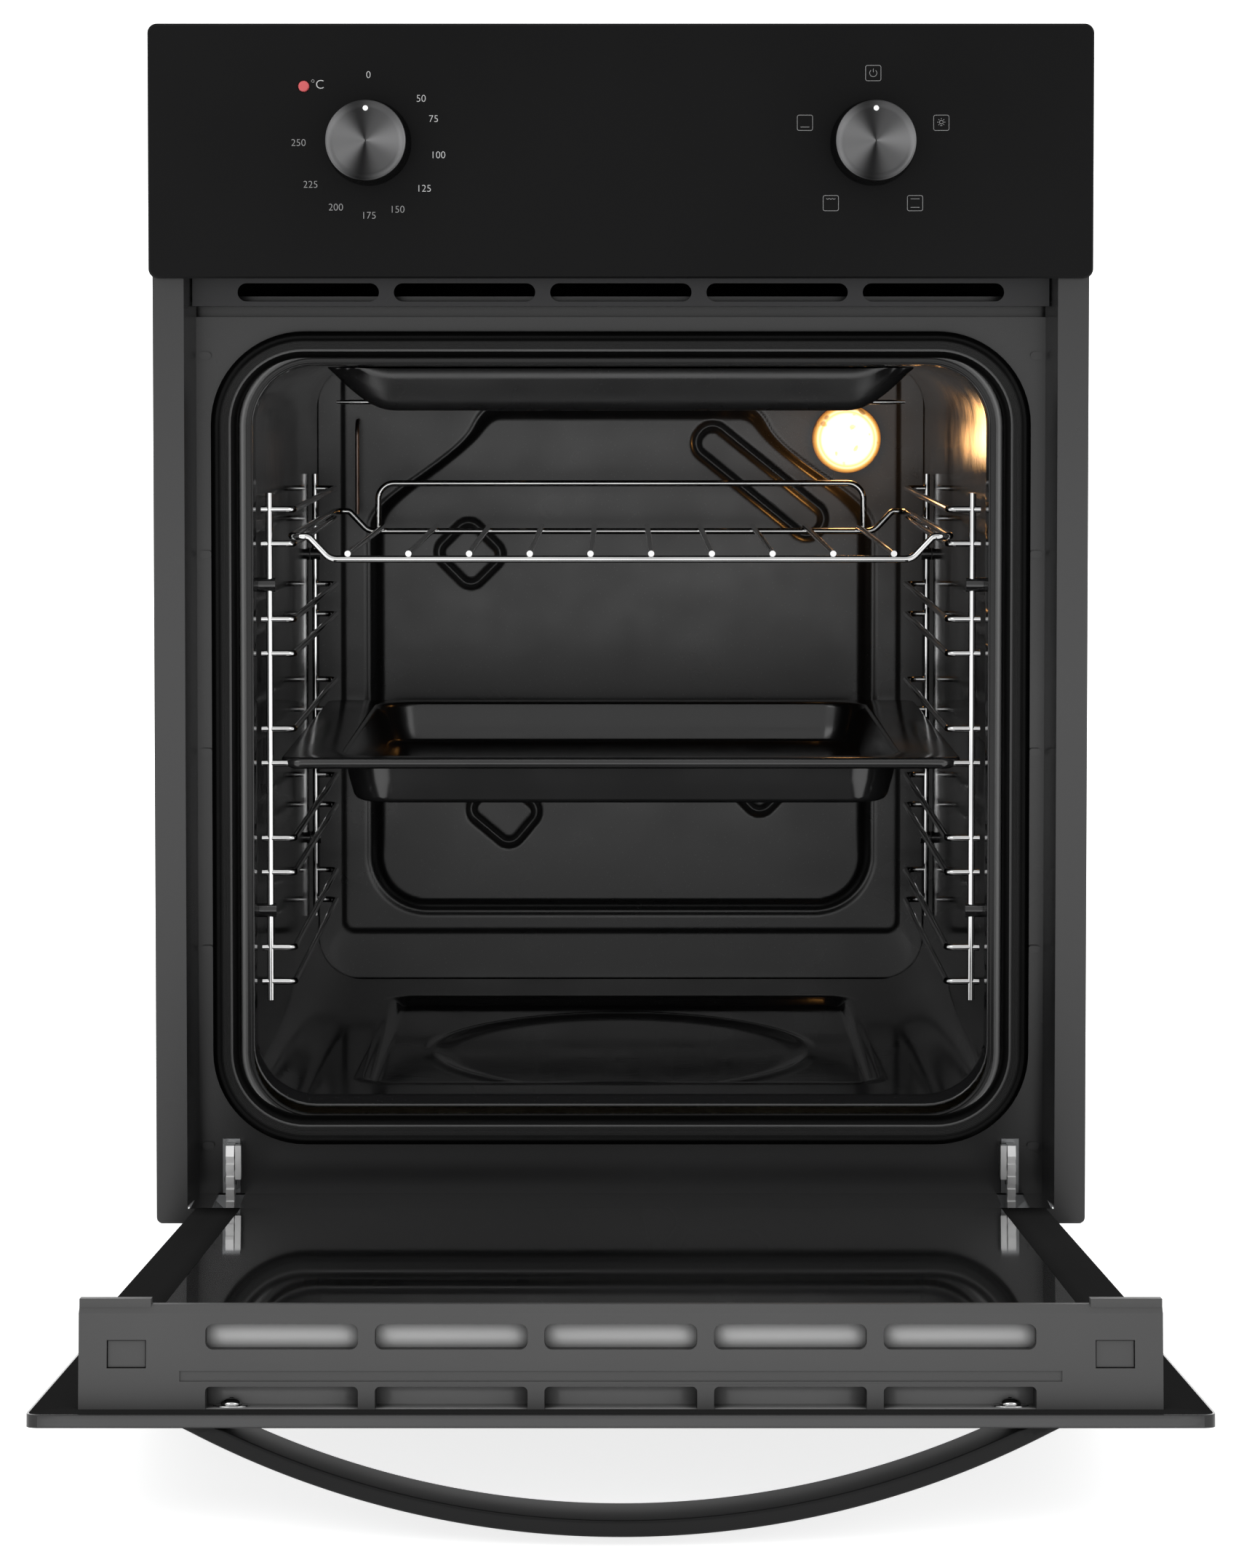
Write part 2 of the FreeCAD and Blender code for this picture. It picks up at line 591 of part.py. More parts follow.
def bottom_rail():
    back = DOOR_GLASS_BACK - 4.2
    rail = box(-177.5, 177.5, DOOR_PLATE, back, DOOR_BODY_BOTTOM, DOOR_BODY_BOTTOM + 14)
    return rail.cut(box(-170, 170, DOOR_PLATE + 1.5, back - 1.5, DOOR_BODY_BOTTOM + 1.5, 80))


def top_trim():
    """Plastic end cap with two rows of windows and pockets for the release buttons."""
    low, high, top = 450.0, 455.6, TRIM_TOP
    pts = [(DOOR_PLATE, low), (DOOR_GLASS_BACK - 4.2, low), (DOOR_GLASS_BACK - 4.2, 449.5),
           (DOOR_GLASS_BACK - 4.1, 449.5), (DOOR_GLASS_BACK - 4.1, high), (TRIM_BACK, high),
           (TRIM_BACK, top - 3), (TRIM_BACK - 3, top), (DOOR_PLATE, top)]
    cap = side_profile(pts, -TRIM_HALF, TRIM_HALF)
    for side, _ in SIDES:
        end = box(side * TRIM_STEP_X, side * TRIM_HALF, TRIM_BACK - 3, TRIM_BACK + TRIM_STEP, high, top - 2)
        cap = cap.fuse(end)
    cap = cap.removeSplitter()
    for n in range(-2, 3):
        x = n * TRIM_PITCH
        half = TRIM_WINDOW / 2
        cap = cap.cut(slab_down(x, half, 27.4, 37.0, top - 5, 3))
        cap = cap.cut(slab_down(x, half, DOOR_PLATE - 1, 13.6, top - 12, 2))
    for side, _ in SIDES:
        cap = cap.cut(box(side * 178.6, side * 193.4, 20.4, 31.0, top - 4, top + 5))
    cap = cap.cut(box(-166, 166, 15.5, 19.5, top - 0.8, top + 1))
    return cap


def slab_down(x, half, d0, d1, z, r):
    """Pocket tool: a rounded slot seen from the trim's face, open upwards from z."""
    wire = level_rect(half, d0, d1, r, z)
    wire.translate(V(x, 0, 0))
    return Part.Face(wire).extrude(V(0, 0, 30))


def trim_buttons():
    buttons = []
    for side, _ in SIDES:
        buttons.append(box(side * 179, side * 193, 20.8, 30.6, TRIM_TOP - 4, TRIM_TOP - 1.2))
    return group(buttons)


def door_glass(half, d0, thick, z0, z1):
    return slab(half, z0, z1, 2, d0, d0 + thick)


def glass_bumpers():
    """Rubber blocks that space the middle glass from the rails."""
    blocks = []
    for side, _ in SIDES:
        for z in (70, 250, 430):
            blocks.append(box(side * 166, side * 176, DOOR_PLATE, 14, z - 8, z + 8))
            blocks.append(box(side * 166, side * 176, 17.2, DOOR_GLASS_BACK - 4, z - 8, z + 8))
    return group(blocks)


def door_handle():
    """Wide bow strap with a foot at each end."""
    r_out = (HANDLE_HALF ** 2 + HANDLE_OUT ** 2) / (2 * HANDLE_OUT)
    centre = V(0, depth(r_out - HANDLE_OUT), DOOR_TOP - HANDLE_WIDTH)
    ring = Part.makeCylinder(r_out, HANDLE_WIDTH, centre)
    ring = ring.cut(Part.makeCylinder(r_out - HANDLE_THICK, HANDLE_WIDTH, centre))
    keep = box(-200, 200, -HANDLE_OUT - 5, 0, DOOR_TOP - 60, DOOR_TOP + 10)
    strap = ring.common(keep)
    feet = []
    for side, _ in SIDES:
        feet.append(box(side * 140, side * 156, -5, 0, DOOR_TOP - HANDLE_WIDTH + 4, DOOR_TOP - 5))
    handle = joined([strap] + feet)
    for side, _ in SIDES:
        handle = handle.cut(rod_y(1.95, side * SCREW_X, SCREW_Z, -12, 5))
    return handle


def handle_screws():
    """Truss-head screws driven from inside the door."""
    screws = []
    for side, _ in SIDES:
        head = rod_y(4.6, side * SCREW_X, SCREW_Z, DOOR_PLATE + 1, DOOR_PLATE + 3.6)
        screws.append(joined([head, rod_y(1.95, side * SCREW_X, SCREW_Z, -5, DOOR_PLATE + 2)]))
    return group(screws)


def handle_washers():
    rings = []
    for side, _ in SIDES:
        ring = rod_y(4.9, side * SCREW_X, SCREW_Z, DOOR_PLATE, DOOR_PLATE + 1)
        rings.append(ring.cut(rod_y(2.2, side * SCREW_X, SCREW_Z, 0, 20)))
    return group(rings)


# ---- hinges ----

def hinge_case(side):
    """Channel in the door whose two cheeks hold the pin."""
    cheeks = []
    for x0, x1 in ((183.5, 185.3), (192.7, 194.5)):
        pts = [(8, 9), (19, 9), (27, 40), (27, 150), (6.6, 150), (6.6, 12)]
        cheeks.append(side_profile(pts, side * x0, side * x1))
    web = box(side * 183.5, side * 194.5, 6.6, 8.2, 42, 150)
    case = joined(cheeks + [web])
    return case.cut(rod_x(3, HINGE_DEPTH, HINGE_Z, side * 180, side * 200))


def hinge_pin(side):
    return rod_x(3, HINGE_DEPTH, HINGE_Z, side * 183.2, side * 194.8)


def hinge_spring(side):
    coil = Part.makeCylinder(3.5, 84, V(side * HINGE_X, depth(18.5), 60))
    return coil.cut(Part.makeCylinder(2.2, 90, V(side * HINGE_X, depth(18.5), 55)))


def hinge_arm(side):
    """Arm that hooks into the receiver and drops to the pin below the door's body."""
    pts = [(8, 12), (16, 10.5), (30, 10.5), (45.5, 24), (45.5, 42), (92, 42), (92, 54), (80, 58),
           (45.5, 58), (45.5, 61), (38, 61), (36.5, 56), (36.5, 30), (26, 22), (7, 22)]
    arm = side_profile(pts, side * (HINGE_X - 2), side * (HINGE_X + 2))
    for n in range(4):
        arm = arm.cut(box(side * 180, side * 200, 36, 38, 34 + n * 6, 36.5 + n * 6))
    return arm.cut(rod_x(3.06, HINGE_DEPTH, HINGE_Z, side * 180, side * 200))


def hinge_receiver(side):
    """Pocket behind the seal plate that the arm hooks into, and its face plate in front."""
    seal = SEAL_DEPTH + SHEET
    pocket = box(side * 182, side * 196, seal, 100, 37, 64)
    pocket = pocket.cut(box(side * 186, side * 192, seal - 2, 98, 40, 60))
    plate = box(side * 184.8, side * 193.2, SEAL_DEPTH - 1, SEAL_DEPTH, 36.5, 63)
    plate = plate.cut(box(side * 186.6, side * 191.4, SEAL_DEPTH - 2, SEAL_DEPTH + 1, 40.5, 59.5))
    return group([pocket, plate])


def hinge_latch(side):
    """Claw that is flipped forward to free the door."""
    x0, x1 = side * (HINGE_X - 5.2), side * (HINGE_X - 2.3)
    return side_profile([(38.2, 44.5), (43.8, 45), (44.8, 52), (44.8, 59), (42, 61), (38.2, 61)],
                        x0, x1)


def latch_pivot(side):
    """Rivet of the claw, fixed in the arm."""
    return rod_x(1.5, *RIVET, side * (HINGE_X - 5.2), side * (HINGE_X - 2))


# ---- what slides on the rails ----

def wire_rack():
    """Welded rack: a frame that drops at both ends, ten rods and a raised rear guard."""
    r = 1.75
    side_x, bar_x, shoulder_x = RACK_X, RACK_BAR_HALF, RACK_BAR_HALF + 10.5
    front, back = RACK_FRONT, RACK_BACK
    middle = (front + back) / 2
    pieces = []
    for d in (front, back):
        path = [(-side_x, middle, RACK_Z), (-side_x, d, RACK_Z), (-shoulder_x, d, RACK_Z),
                (-bar_x, d, RACK_BAR_Z), (bar_x, d, RACK_BAR_Z), (shoulder_x, d, RACK_Z),
                (side_x, d, RACK_Z), (side_x, middle, RACK_Z)]
        pieces.append(bent_wire(path, (7, 3, 8, 8, 3, 7), r))
    for n in range(RACK_RODS):
        x = (n - (RACK_RODS - 1) / 2) * RACK_ROD_PITCH
        pieces.append(rod_y(1.5, x, RACK_BAR_Z + 2.7, front - 1.6, back + 1.6))
    half, high = RACK_GUARD
    guard = [(-half, back + 2.6, RACK_BAR_Z - 1), (-half, back + 2.6, high),
             (half, back + 2.6, high), (half, back + 2.6, RACK_BAR_Z - 1)]
    pieces.append(bent_wire(guard, (9, 9), r))
    return joined(pieces)


def baking_tray():
    """Deep tray with a flat rim that slides on the rails of the third level."""
    rim_z, wall = TRAY_Z, 1.2
    top = rim_z + wall
    low = top - TRAY_DEPTH
    half, end = TRAY_PAN_HALF, 13.0
    outer = loft([level_rect(half, TRAY_FRONT + end, TRAY_BACK - end, 24, top),
                  level_rect(half - 6, TRAY_FRONT + end + 12, TRAY_BACK - end - 12, 20, low)])
    inside, end_in = half - wall, end + wall
    inner = loft([level_rect(inside, TRAY_FRONT + end_in, TRAY_BACK - end_in, 22.8, top + 0.01),
                  level_rect(inside - 6, TRAY_FRONT + end_in + 12, TRAY_BACK - end_in - 12, 18.8, low + wall)])
    rim = Part.Face(level_rect(TRAY_HALF, TRAY_FRONT, TRAY_BACK, 10, rim_z)).extrude(V(0, 0, wall))
    cutter = inner.fuse(Part.Face(level_rect(inside - 0.1, TRAY_FRONT + end_in + 0.1, TRAY_BACK - end_in - 0.1,
                                             22.7, rim_z - 0.2)).extrude(V(0, 0, 5)))
    return rim.fuse(outer).cut(cutter).removeSplitter()


def both(maker):
    """The same piece at the left and at the right, as one group."""
    return group([maker(side) for side, _ in SIDES])


def fixed_nodes():
    nodes = {
        "front_frame": front_frame(),
        "vent_strip": vent_strip(),
        "control_panel": control_panel(),
        "panel_tray": panel_tray(),
        "top_cover": top_cover(),
        "rear_cover": rear_cover(),
        "base_plate": base_plate(),
        "cavity_shell": cavity_shell(),
        "cavity_back": cavity_back(),
        "insulation_wrap": insulation(),
        "door_gasket": door_gasket(),
        "heater_shield": heater_shield(),
        "grill_element": grill_element(),
        "base_element": base_element(),
        "lamp_holder": lamp_holder(),
        "lamp_bulb": lamp_bulb(),
        "lamp_cover": lamp_cover(),
        "thermostat_body": control_body(-KNOB_X, 20, 50),
        "selector_body": control_body(KNOB_X, 18, 56),
        "thermostat_capillary": capillary(),
        "indicator_body": indicator_body(),
        "indicator_lens": indicator_lens(),
        "terminal_block": terminal_block(),
        "cable_inlet": cable_inlet(),
        "fan_housing": fan_housing(),
        "fan_motor": fan_motor(),
        "hinge_receivers": both(hinge_receiver),
        "hinge_arms": both(hinge_arm),
        "latch_pivots": both(latch_pivot),
        "runner_studs": both(runner_studs),
    }
    for side, name in SIDES:
        nodes["side_panel_" + name] = side_panel(side)
        nodes["shelf_runner_" + name] = runner(side)
    return nodes


def moving_nodes():
    nodes = {
        "fan_rotor": fan_rotor(),
        "wire_rack": wire_rack(),
        "baking_tray": baking_tray(),
    }
    for x, name in ((-KNOB_X, "thermostat"), (KNOB_X, "selector")):
        nodes[name + "_knob"] = knob_body(x)
        nodes[name + "_cap"] = knob_cap(x)
        nodes[name + "_shaft"] = knob_shaft(x)
    for side, name in SIDES:
        claw = hinge_latch(side)
        hole = rod_x(1.56, *RIVET, side * (HINGE_X - 8), side * (HINGE_X + 8))
        nodes["hinge_latch_" + name] = claw.cut(hole)
    return nodes


def door_nodes():
    """Door pieces drawn closed; the caller opens them."""
    glass_low = DOOR_BODY_BOTTOM
    nodes = {
        "door_outer_panel": door_plate(),
        "door_middle_glass": door_glass(176.5, 14, 3.2, 56, 447),
        "door_inner_glass": door_glass(DOOR_GLASS_HALF, DOOR_GLASS_BACK - 4, 4, glass_low, 449.2),
        "door_bottom_rail": bottom_rail(),
        "door_top_trim": top_trim(),
        "door_handle": door_handle(),
        "handle_screws": handle_screws(),
        "handle_washers": handle_washers(),
        "trim_buttons": trim_buttons(),
        "glass_bumpers": glass_bumpers(),
        "hinge_cases": both(hinge_case),
        "hinge_pins": both(hinge_pin),
        "hinge_springs": both(hinge_spring),
    }
    for side, name in SIDES:
        nodes["door_rail_" + name] = door_rail(side)
    return nodes


def main():
    os.makedirs("parts", exist_ok=True)
    nodes = fixed_nodes()
    nodes.update(moving_nodes())
    for name, shape in door_nodes().items():
        shape.rotate(V(0, depth(HINGE_DEPTH), HINGE_Z), V(1, 0, 0), DOOR_OPEN)
        nodes[name] = shape
    for name, shape in nodes.items():
        good = shape.isValid() and shape.Volume > 0
        if not good:
            print("not valid:", name)
        shape.exportStep("parts/" + name + ".step")
    print(len(nodes), "nodes written")


main()
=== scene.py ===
"""Looks of a compact wall oven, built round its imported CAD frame. Lengths in metres."""
import json
import math
from contextlib import contextmanager

import bmesh
import bpy
import numpy as np
from bpy.props import FloatProperty, FloatVectorProperty, PointerProperty
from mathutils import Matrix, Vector


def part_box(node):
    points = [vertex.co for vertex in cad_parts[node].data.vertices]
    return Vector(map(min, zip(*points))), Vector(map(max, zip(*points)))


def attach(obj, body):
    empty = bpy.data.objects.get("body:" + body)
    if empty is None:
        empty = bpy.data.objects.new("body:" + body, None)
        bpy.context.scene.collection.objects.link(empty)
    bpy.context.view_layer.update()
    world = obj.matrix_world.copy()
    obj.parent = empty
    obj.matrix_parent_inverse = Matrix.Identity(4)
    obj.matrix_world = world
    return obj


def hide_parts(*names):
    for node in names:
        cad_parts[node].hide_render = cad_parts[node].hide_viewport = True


bl_info = {
    "name": "Compact wall oven",
    "version": (1, 0, 0),
    "blender": (4, 5, 0),
    "location": "View3D > Sidebar > Oven",
    "description": "Builds the detailed pieces, finishes and studio of a compact wall oven",
    "category": "Add Mesh",
}

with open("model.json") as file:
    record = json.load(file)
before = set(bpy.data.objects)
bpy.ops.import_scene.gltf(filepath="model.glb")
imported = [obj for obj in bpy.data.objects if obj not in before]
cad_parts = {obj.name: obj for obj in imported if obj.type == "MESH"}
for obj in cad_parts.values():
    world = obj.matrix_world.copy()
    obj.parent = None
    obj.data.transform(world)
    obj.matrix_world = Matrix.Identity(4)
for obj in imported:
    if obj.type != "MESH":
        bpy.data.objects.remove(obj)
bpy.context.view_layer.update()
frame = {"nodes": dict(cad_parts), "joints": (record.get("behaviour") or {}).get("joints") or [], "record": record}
NODES = frame["nodes"]
HINGE = np.array(next(joint["pos_m"] for joint in frame["joints"] if joint["name"] == "door_hinge"))
DOOR_OPEN = math.radians(85.0)
MM = 0.001
FRONT = -0.300                  # face of the panel and of the closed door
DOOR_INSIDE = FRONT + 0.005     # inner face of the closed door's outer panel


# ---- mesh helpers ----

def grid_faces(rows, columns, close_rows=False, close_columns=False):
    """Quads of a grid of rows by columns points, joined end to end where asked."""
    r = np.arange(rows if close_rows else rows - 1)
    c = np.arange(columns if close_columns else columns - 1)
    r, c = np.meshgrid(r, c, indexing="ij")
    r2, c2 = (r + 1) % rows, (c + 1) % columns
    corners = [r * columns + c, r2 * columns + c, r2 * columns + c2, r * columns + c2]
    return np.stack(corners, -1).reshape(-1, 4)


def make_mesh(name, points, faces, uv=None, smooth=True):
    """Object from an array of points and one of quads, with an optional UV for each point."""
    mesh = bpy.data.meshes.new(name)
    points = np.asarray(points, float).reshape(-1, 3)
    faces = np.asarray(faces, np.int32)
    mesh.vertices.add(len(points))
    mesh.vertices.foreach_set("co", points.ravel())
    mesh.loops.add(faces.size)
    mesh.loops.foreach_set("vertex_index", faces.ravel())
    mesh.polygons.add(len(faces))
    mesh.polygons.foreach_set("loop_start", np.arange(len(faces)) * faces.shape[1])
    mesh.update(calc_edges=True)
    if uv is not None:
        layer = mesh.uv_layers.new(name="UVMap")
        layer.data.foreach_set("uv", np.asarray(uv, float).reshape(-1, 2)[faces.ravel()].ravel())
    if smooth:
        mesh.polygons.foreach_set("use_smooth", np.ones(len(faces), bool))
    mesh.validate()
    piece = bpy.data.objects.new(name, mesh)
    bpy.context.scene.collection.objects.link(piece)
    return piece


def finish_piece(piece, material, body, replaces=()):
    """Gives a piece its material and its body."""
    piece.data.materials.clear()
    piece.data.materials.append(material)
    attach(piece, body)
    if replaces:
        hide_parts(*replaces)


def smoothstep(edge0, edge1, x):
    """Rises from 0 at edge0 to 1 at edge1 with level ends."""
    t = np.clip((x - edge0) / (edge1 - edge0), 0, 1)
    return t * t * (3 - 2 * t)


def rounded_box_distance(x, z, half_x, half_z, radius):
    """Distance from the outline of a rounded rectangle about the origin, negative inside."""
    qx, qz = np.abs(x) - half_x + radius, np.abs(z) - half_z + radius
    outside = np.hypot(np.maximum(qx, 0), np.maximum(qz, 0))
    return outside + np.minimum(np.maximum(qx, qz), 0) - radius


def rounded_loop(half_x, half_z, radius, per_corner=12, per_side=8):
    """Points and outward directions round a rounded rectangle, anticlockwise from its right side."""
    points, normals = [], []
    centres = ((1, 1), (-1, 1), (-1, -1), (1, -1))
    for k, (sx, sz) in enumerate(centres):
        angle = np.linspace(k * math.pi / 2, (k + 1) * math.pi / 2, per_corner + 1)
        n = np.stack([np.cos(angle), np.sin(angle)], -1)
        arc = np.array([sx * (half_x - radius), sz * (half_z - radius)]) + radius * n
        points.append(arc)
        normals.append(n)
        nx = centres[(k + 1) % 4]
        start = np.array([nx[0] * (half_x - radius), nx[1] * (half_z - radius)]) + radius * n[-1]
        t = np.linspace(0, 1, per_side + 2)[1:-1, None]
        points.append(arc[-1] * (1 - t) + start * t)
        normals.append(np.repeat(n[-1:], per_side, 0))
    return np.concatenate(points), np.concatenate(normals)


def sweep_loop(name, loop, normals, profile, to_space, across=None):
    """Closed profile carried round a closed loop: a point lies at loop + out * normal, raised by up.

    U runs along the loop in metres, V is across, or rises from 0 to 1 round the profile.
    """
    out, up = profile[:, 0], profile[:, 1]
    flat = loop[:, None, :] + normals[:, None, :] * out[None, :, None]
    rise = np.broadcast_to(up[None, :], flat.shape[:2])
    points = to_space(flat[..., 0], flat[..., 1], rise)
    rows, columns = flat.shape[:2]
    length = np.concatenate([[0], np.cumsum(np.hypot(*np.diff(loop, axis=0).T))])
    across = np.linspace(0, 1, columns) if across is None else across
    uv = np.stack(np.broadcast_arrays(length[:, None], across[None, :]), -1)
    return make_mesh(name, points, grid_faces(rows, columns, True, True), uv)


@contextmanager
def mesh_edit(piece):
    """Opens a piece's mesh for editing and writes it back."""
    work = bmesh.new()
    work.from_mesh(piece.data)
    yield work
    work.to_mesh(piece.data)
    work.free()


def face_outwards(piece):
    """Turns every face of a closed piece outwards."""
    with mesh_edit(piece) as work:
        bmesh.ops.remove_doubles(work, verts=work.verts, dist=1e-7)
        bmesh.ops.recalc_face_normals(work, faces=work.faces)


def largest_face_up(work):
    """Turns all faces over where the largest one looks down."""
    work.faces.ensure_lookup_table()
    if max(work.faces, key=lambda f: f.calc_area()).normal.z < 0:
        bmesh.ops.reverse_faces(work, faces=work.faces)


def close_hub(piece, reach, longest):
    """Closes a piece's small open ring near its middle and turns its faces up."""
    with mesh_edit(piece) as work:
        ring = [e for e in work.edges if e.is_boundary and e.calc_length() < longest
                and all(abs(v.co.x) < reach for v in e.verts)]
        bmesh.ops.contextual_create(work, geom=ring)
        work.normal_update()
        largest_face_up(work)


def face_front(piece):
    """Turns all faces over where the first one looks back."""
    if piece.data.polygons[0].normal.y > 0:
        piece.data.flip_normals()


def read_points(mesh):
    """Points of a mesh as an array of three columns."""
    points = np.empty(len(mesh.vertices) * 3)
    mesh.vertices.foreach_get("co", points)
    return points.reshape(-1, 3)


def middle_of(node):
    """Middle of a node's box across and in height, and half its width."""
    low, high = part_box(node)
    return (low.x + high.x) / 2, (low.z + high.z) / 2, (high.x - low.x) / 2


def thicken(piece, thickness, offset=-1.0):
    """Gives a sheet its wall."""
    modifier = piece.modifiers.new("Solidify", "SOLIDIFY")
    modifier.thickness, modifier.offset = thickness, offset


def open_door(points):
    """Turns points of the closed door about its hinge to where it stands open."""
    y, z = points[..., 1] - HINGE[1], points[..., 2] - HINGE[2]
    c, s = math.cos(DOOR_OPEN), math.sin(DOOR_OPEN)
    return np.stack([points[..., 0], HINGE[1] + y * c - z * s, HINGE[2] + y * s + z * c], -1)


# ---- materials ----

def new_material(name, **inputs):
    """Principled material with values set on the shader's own sockets."""
    material = bpy.data.materials.new(name)
    material.use_nodes = True
    shader = shader_of(material)
    for key, value in inputs.items():
        shader.inputs[key.replace("_", " ")].default_value = value
    return material


def shader_of(material):
    """The material's one shader."""
    return material.node_tree.nodes["Principled BSDF"]


def add_node(material, kind, **values):
    """Node with its properties set."""
    node = material.node_tree.nodes.new(kind)
    for key, value in values.items():
        setattr(node, key, value)
    return node


def wire(material, source, output, target, inlet):
    """Links two nodes."""
    material.node_tree.links.new(source.outputs[output], target.inputs[inlet])


def object_coordinates(material, scale=(1, 1, 1)):
    """Object coordinates through a Mapping node that scales them."""
    place = add_node(material, "ShaderNodeTexCoord")
    mapping = add_node(material, "ShaderNodeMapping")
    mapping.inputs["Scale"].default_value = scale
    wire(material, place, "Object", mapping, "Vector")
    return mapping


def noise_on(material, scale, detail=4.0, stretch=(1, 1, 1), source=None):
    """Noise texture on object coordinates."""
    noise = add_node(material, "ShaderNodeTexNoise")
    noise.inputs["Scale"].default_value = scale
    noise.inputs["Detail"].default_value = detail
    wire(material, source or object_coordinates(material, stretch), "Vector", noise, "Vector")
    return noise


def uv_parts(material):
    """The UV map and its two values as a node's X and Y."""
    uv = add_node(material, "ShaderNodeUVMap", uv_map="UVMap")
    parts = add_node(material, "ShaderNodeSeparateXYZ")
    wire(material, uv, "UV", parts, "Vector")
    return uv, parts


def map_range(material, source, output, low, high, start, end):
    """Maps start to end on to low to high."""
    ramp = add_node(material, "ShaderNodeMapRange")
    for key, value in zip(("From Min", "From Max", "To Min", "To Max"), (start, end, low, high)):
        ramp.inputs[key].default_value = value
    wire(material, source, output, ramp, "Value")
    return ramp


def colour_stops(material, source, output, stops, socket):
    """Colour that follows a value through stops of place and colour."""
    ramp = add_node(material, "ShaderNodeValToRGB")
    elements = ramp.color_ramp.elements
    for element, (place, colour) in zip(elements, (stops[0], stops[-1])):
        element.position, element.color = place, (*colour, 1)
    for place, colour in stops[1:-1]:
        elements.new(place).color = (*colour, 1)
    wire(material, source, output, ramp, "Fac")
    wire(material, ramp, "Color", shader_of(material), socket)


def vary(material, source, output, socket, low, high, start=0.3, end=0.7):
    """Maps a texture value to a range and sends it to one of the shader's sockets."""
    ramp = map_range(material, source, output, low, high, start, end)
    wire(material, ramp, "Result", shader_of(material), socket)


def tint(material, source, output, dark, light, start=0.3, end=0.7):
    """Colour that runs from dark to light with a texture value."""
    colour_stops(material, source, output, ((start, dark), (end, light)), "Base Color")


def bump(material, source, output, strength, distance):
    """Relief from a texture value."""
    node = add_node(material, "ShaderNodeBump")
    node.inputs["Strength"].default_value = strength
    node.inputs["Distance"].default_value = distance
    wire(material, source, output, node, "Height")
    wire(material, node, "Normal", shader_of(material), "Normal")


def grey(level):
    """Neutral colour of one level."""
    return (level, level, level)


def mottled(name, dark, light, gloss, scale, detail=4.0, stretch=(1, 1, 1), relief=None, **inputs):
    """Finish whose colour, gloss and relief follow one cloudy noise."""
    material = new_material(name, **inputs)
    cloud = noise_on(material, scale, detail, stretch)
    tint(material, cloud, "Fac", dark, light)
    if gloss:
        vary(material, cloud, "Fac", "Roughness", *gloss)
    if relief:
        bump(material, cloud, "Fac", *relief)
    return material


def satin_black(name, colour, roughness, grain=900.0, depth=0.00002, shine=0.25):
    """Even dark finish with a very fine grain and small changes in gloss."""
    material = new_material(name, Metallic=0.0, IOR=1.5, Specular_IOR_Level=shine)
    fine = noise_on(material, grain, 3.0)
    cloud = noise_on(material, 6.0, 3.0)
    lighter = tuple(c * 1.25 for c in colour)
    tint(material, cloud, "Fac", colour, lighter)
    vary(material, cloud, "Fac", "Roughness", roughness * 0.85, roughness * 1.15)
    bump(material, fine, "Fac", 0.25, depth)
    return material


def panel_finish():
    """Black front panel: near even, with a soft sheen."""
    return satin_black("front_panel_black", (0.0038, 0.0038, 0.0039), 0.30, 1400.0, 0.000008, 0.06)


def frame_finish():
    """Grey-black enamel of the pressed frame, with a faint flow in its gloss."""
    return satin_black("frame_enamel", (0.0105, 0.0105, 0.0107), 0.22, 700.0, 0.000010, 0.45)


def cavity_enamel(name="cavity_enamel", dark=(0.010, 0.010, 0.0103), gloss=(0.06, 0.13), peel=0.09):
    """Deep black vitreous enamel with fine pale specks and slow waves in its surface."""
    material = new_material(name, Metallic=0.0, IOR=1.55, Specular_IOR_Level=0.5)
    mapping = object_coordinates(material)
    specks = add_node(material, "ShaderNodeTexVoronoi")
    specks.inputs["Scale"].default_value = 420.0
    wire(material, mapping, "Vector", specks, "Vector")
    tint(material, specks, "Distance", tuple(c * 4 for c in dark), dark, 0.05, 0.14)
    waves = noise_on(material, 26.0, 2.0, source=mapping)
    vary(material, waves, "Fac", "Roughness", *gloss)
    orange_peel = noise_on(material, 190.0, 3.0, source=mapping)
    mixed = add_node(material, "ShaderNodeMath", operation="ADD")
    for place, texture in enumerate((waves, orange_peel)):
        wire(material, texture, "Fac", mixed, place)
    bump(material, mixed, "Value", peel, 0.0004)
    return material


def shield_enamel():
    """The cavity's enamel where it is smoother and duller."""
    return cavity_enamel("shield_enamel", (0.008, 0.008, 0.0082), (0.22, 0.34), 0.05)


def back_wall_enamel():
    """The cavity's enamel on its back wall, even and silky."""
    return cavity_enamel("back_wall_enamel", (0.016, 0.016, 0.0163), (0.26, 0.34), 0.03)


def tray_enamel():
    """Smooth gloss black enamel, a little cloudy."""
    return mottled("tray_enamel", (0.005, 0.005, 0.0051), (0.009, 0.009, 0.0092), (0.12, 0.2), 18.0, 2.0,
                   relief=(0.06, 0.0006), Metallic=0.0, IOR=1.55, Specular_IOR_Level=0.5)


def banded(name, stops, roughness, shine):
    """Finish whose colour changes in bands across a swept section, by the V of its UV map."""
    material = new_material(name, Metallic=0.0, IOR=1.45, Specular_IOR_Level=shine)
    _, parts = uv_parts(material)
    colour_stops(material, parts, "Y", [(place, grey(level)) for place, level in stops], "Base Color")
    cloud = noise_on(material, 60.0, 5.0)
    vary(material, cloud, "Fac", "Roughness", roughness * 0.85, roughness * 1.2)
    bump(material, noise_on(material, 1500.0), "Fac", 0.15, 0.00002)
    return material


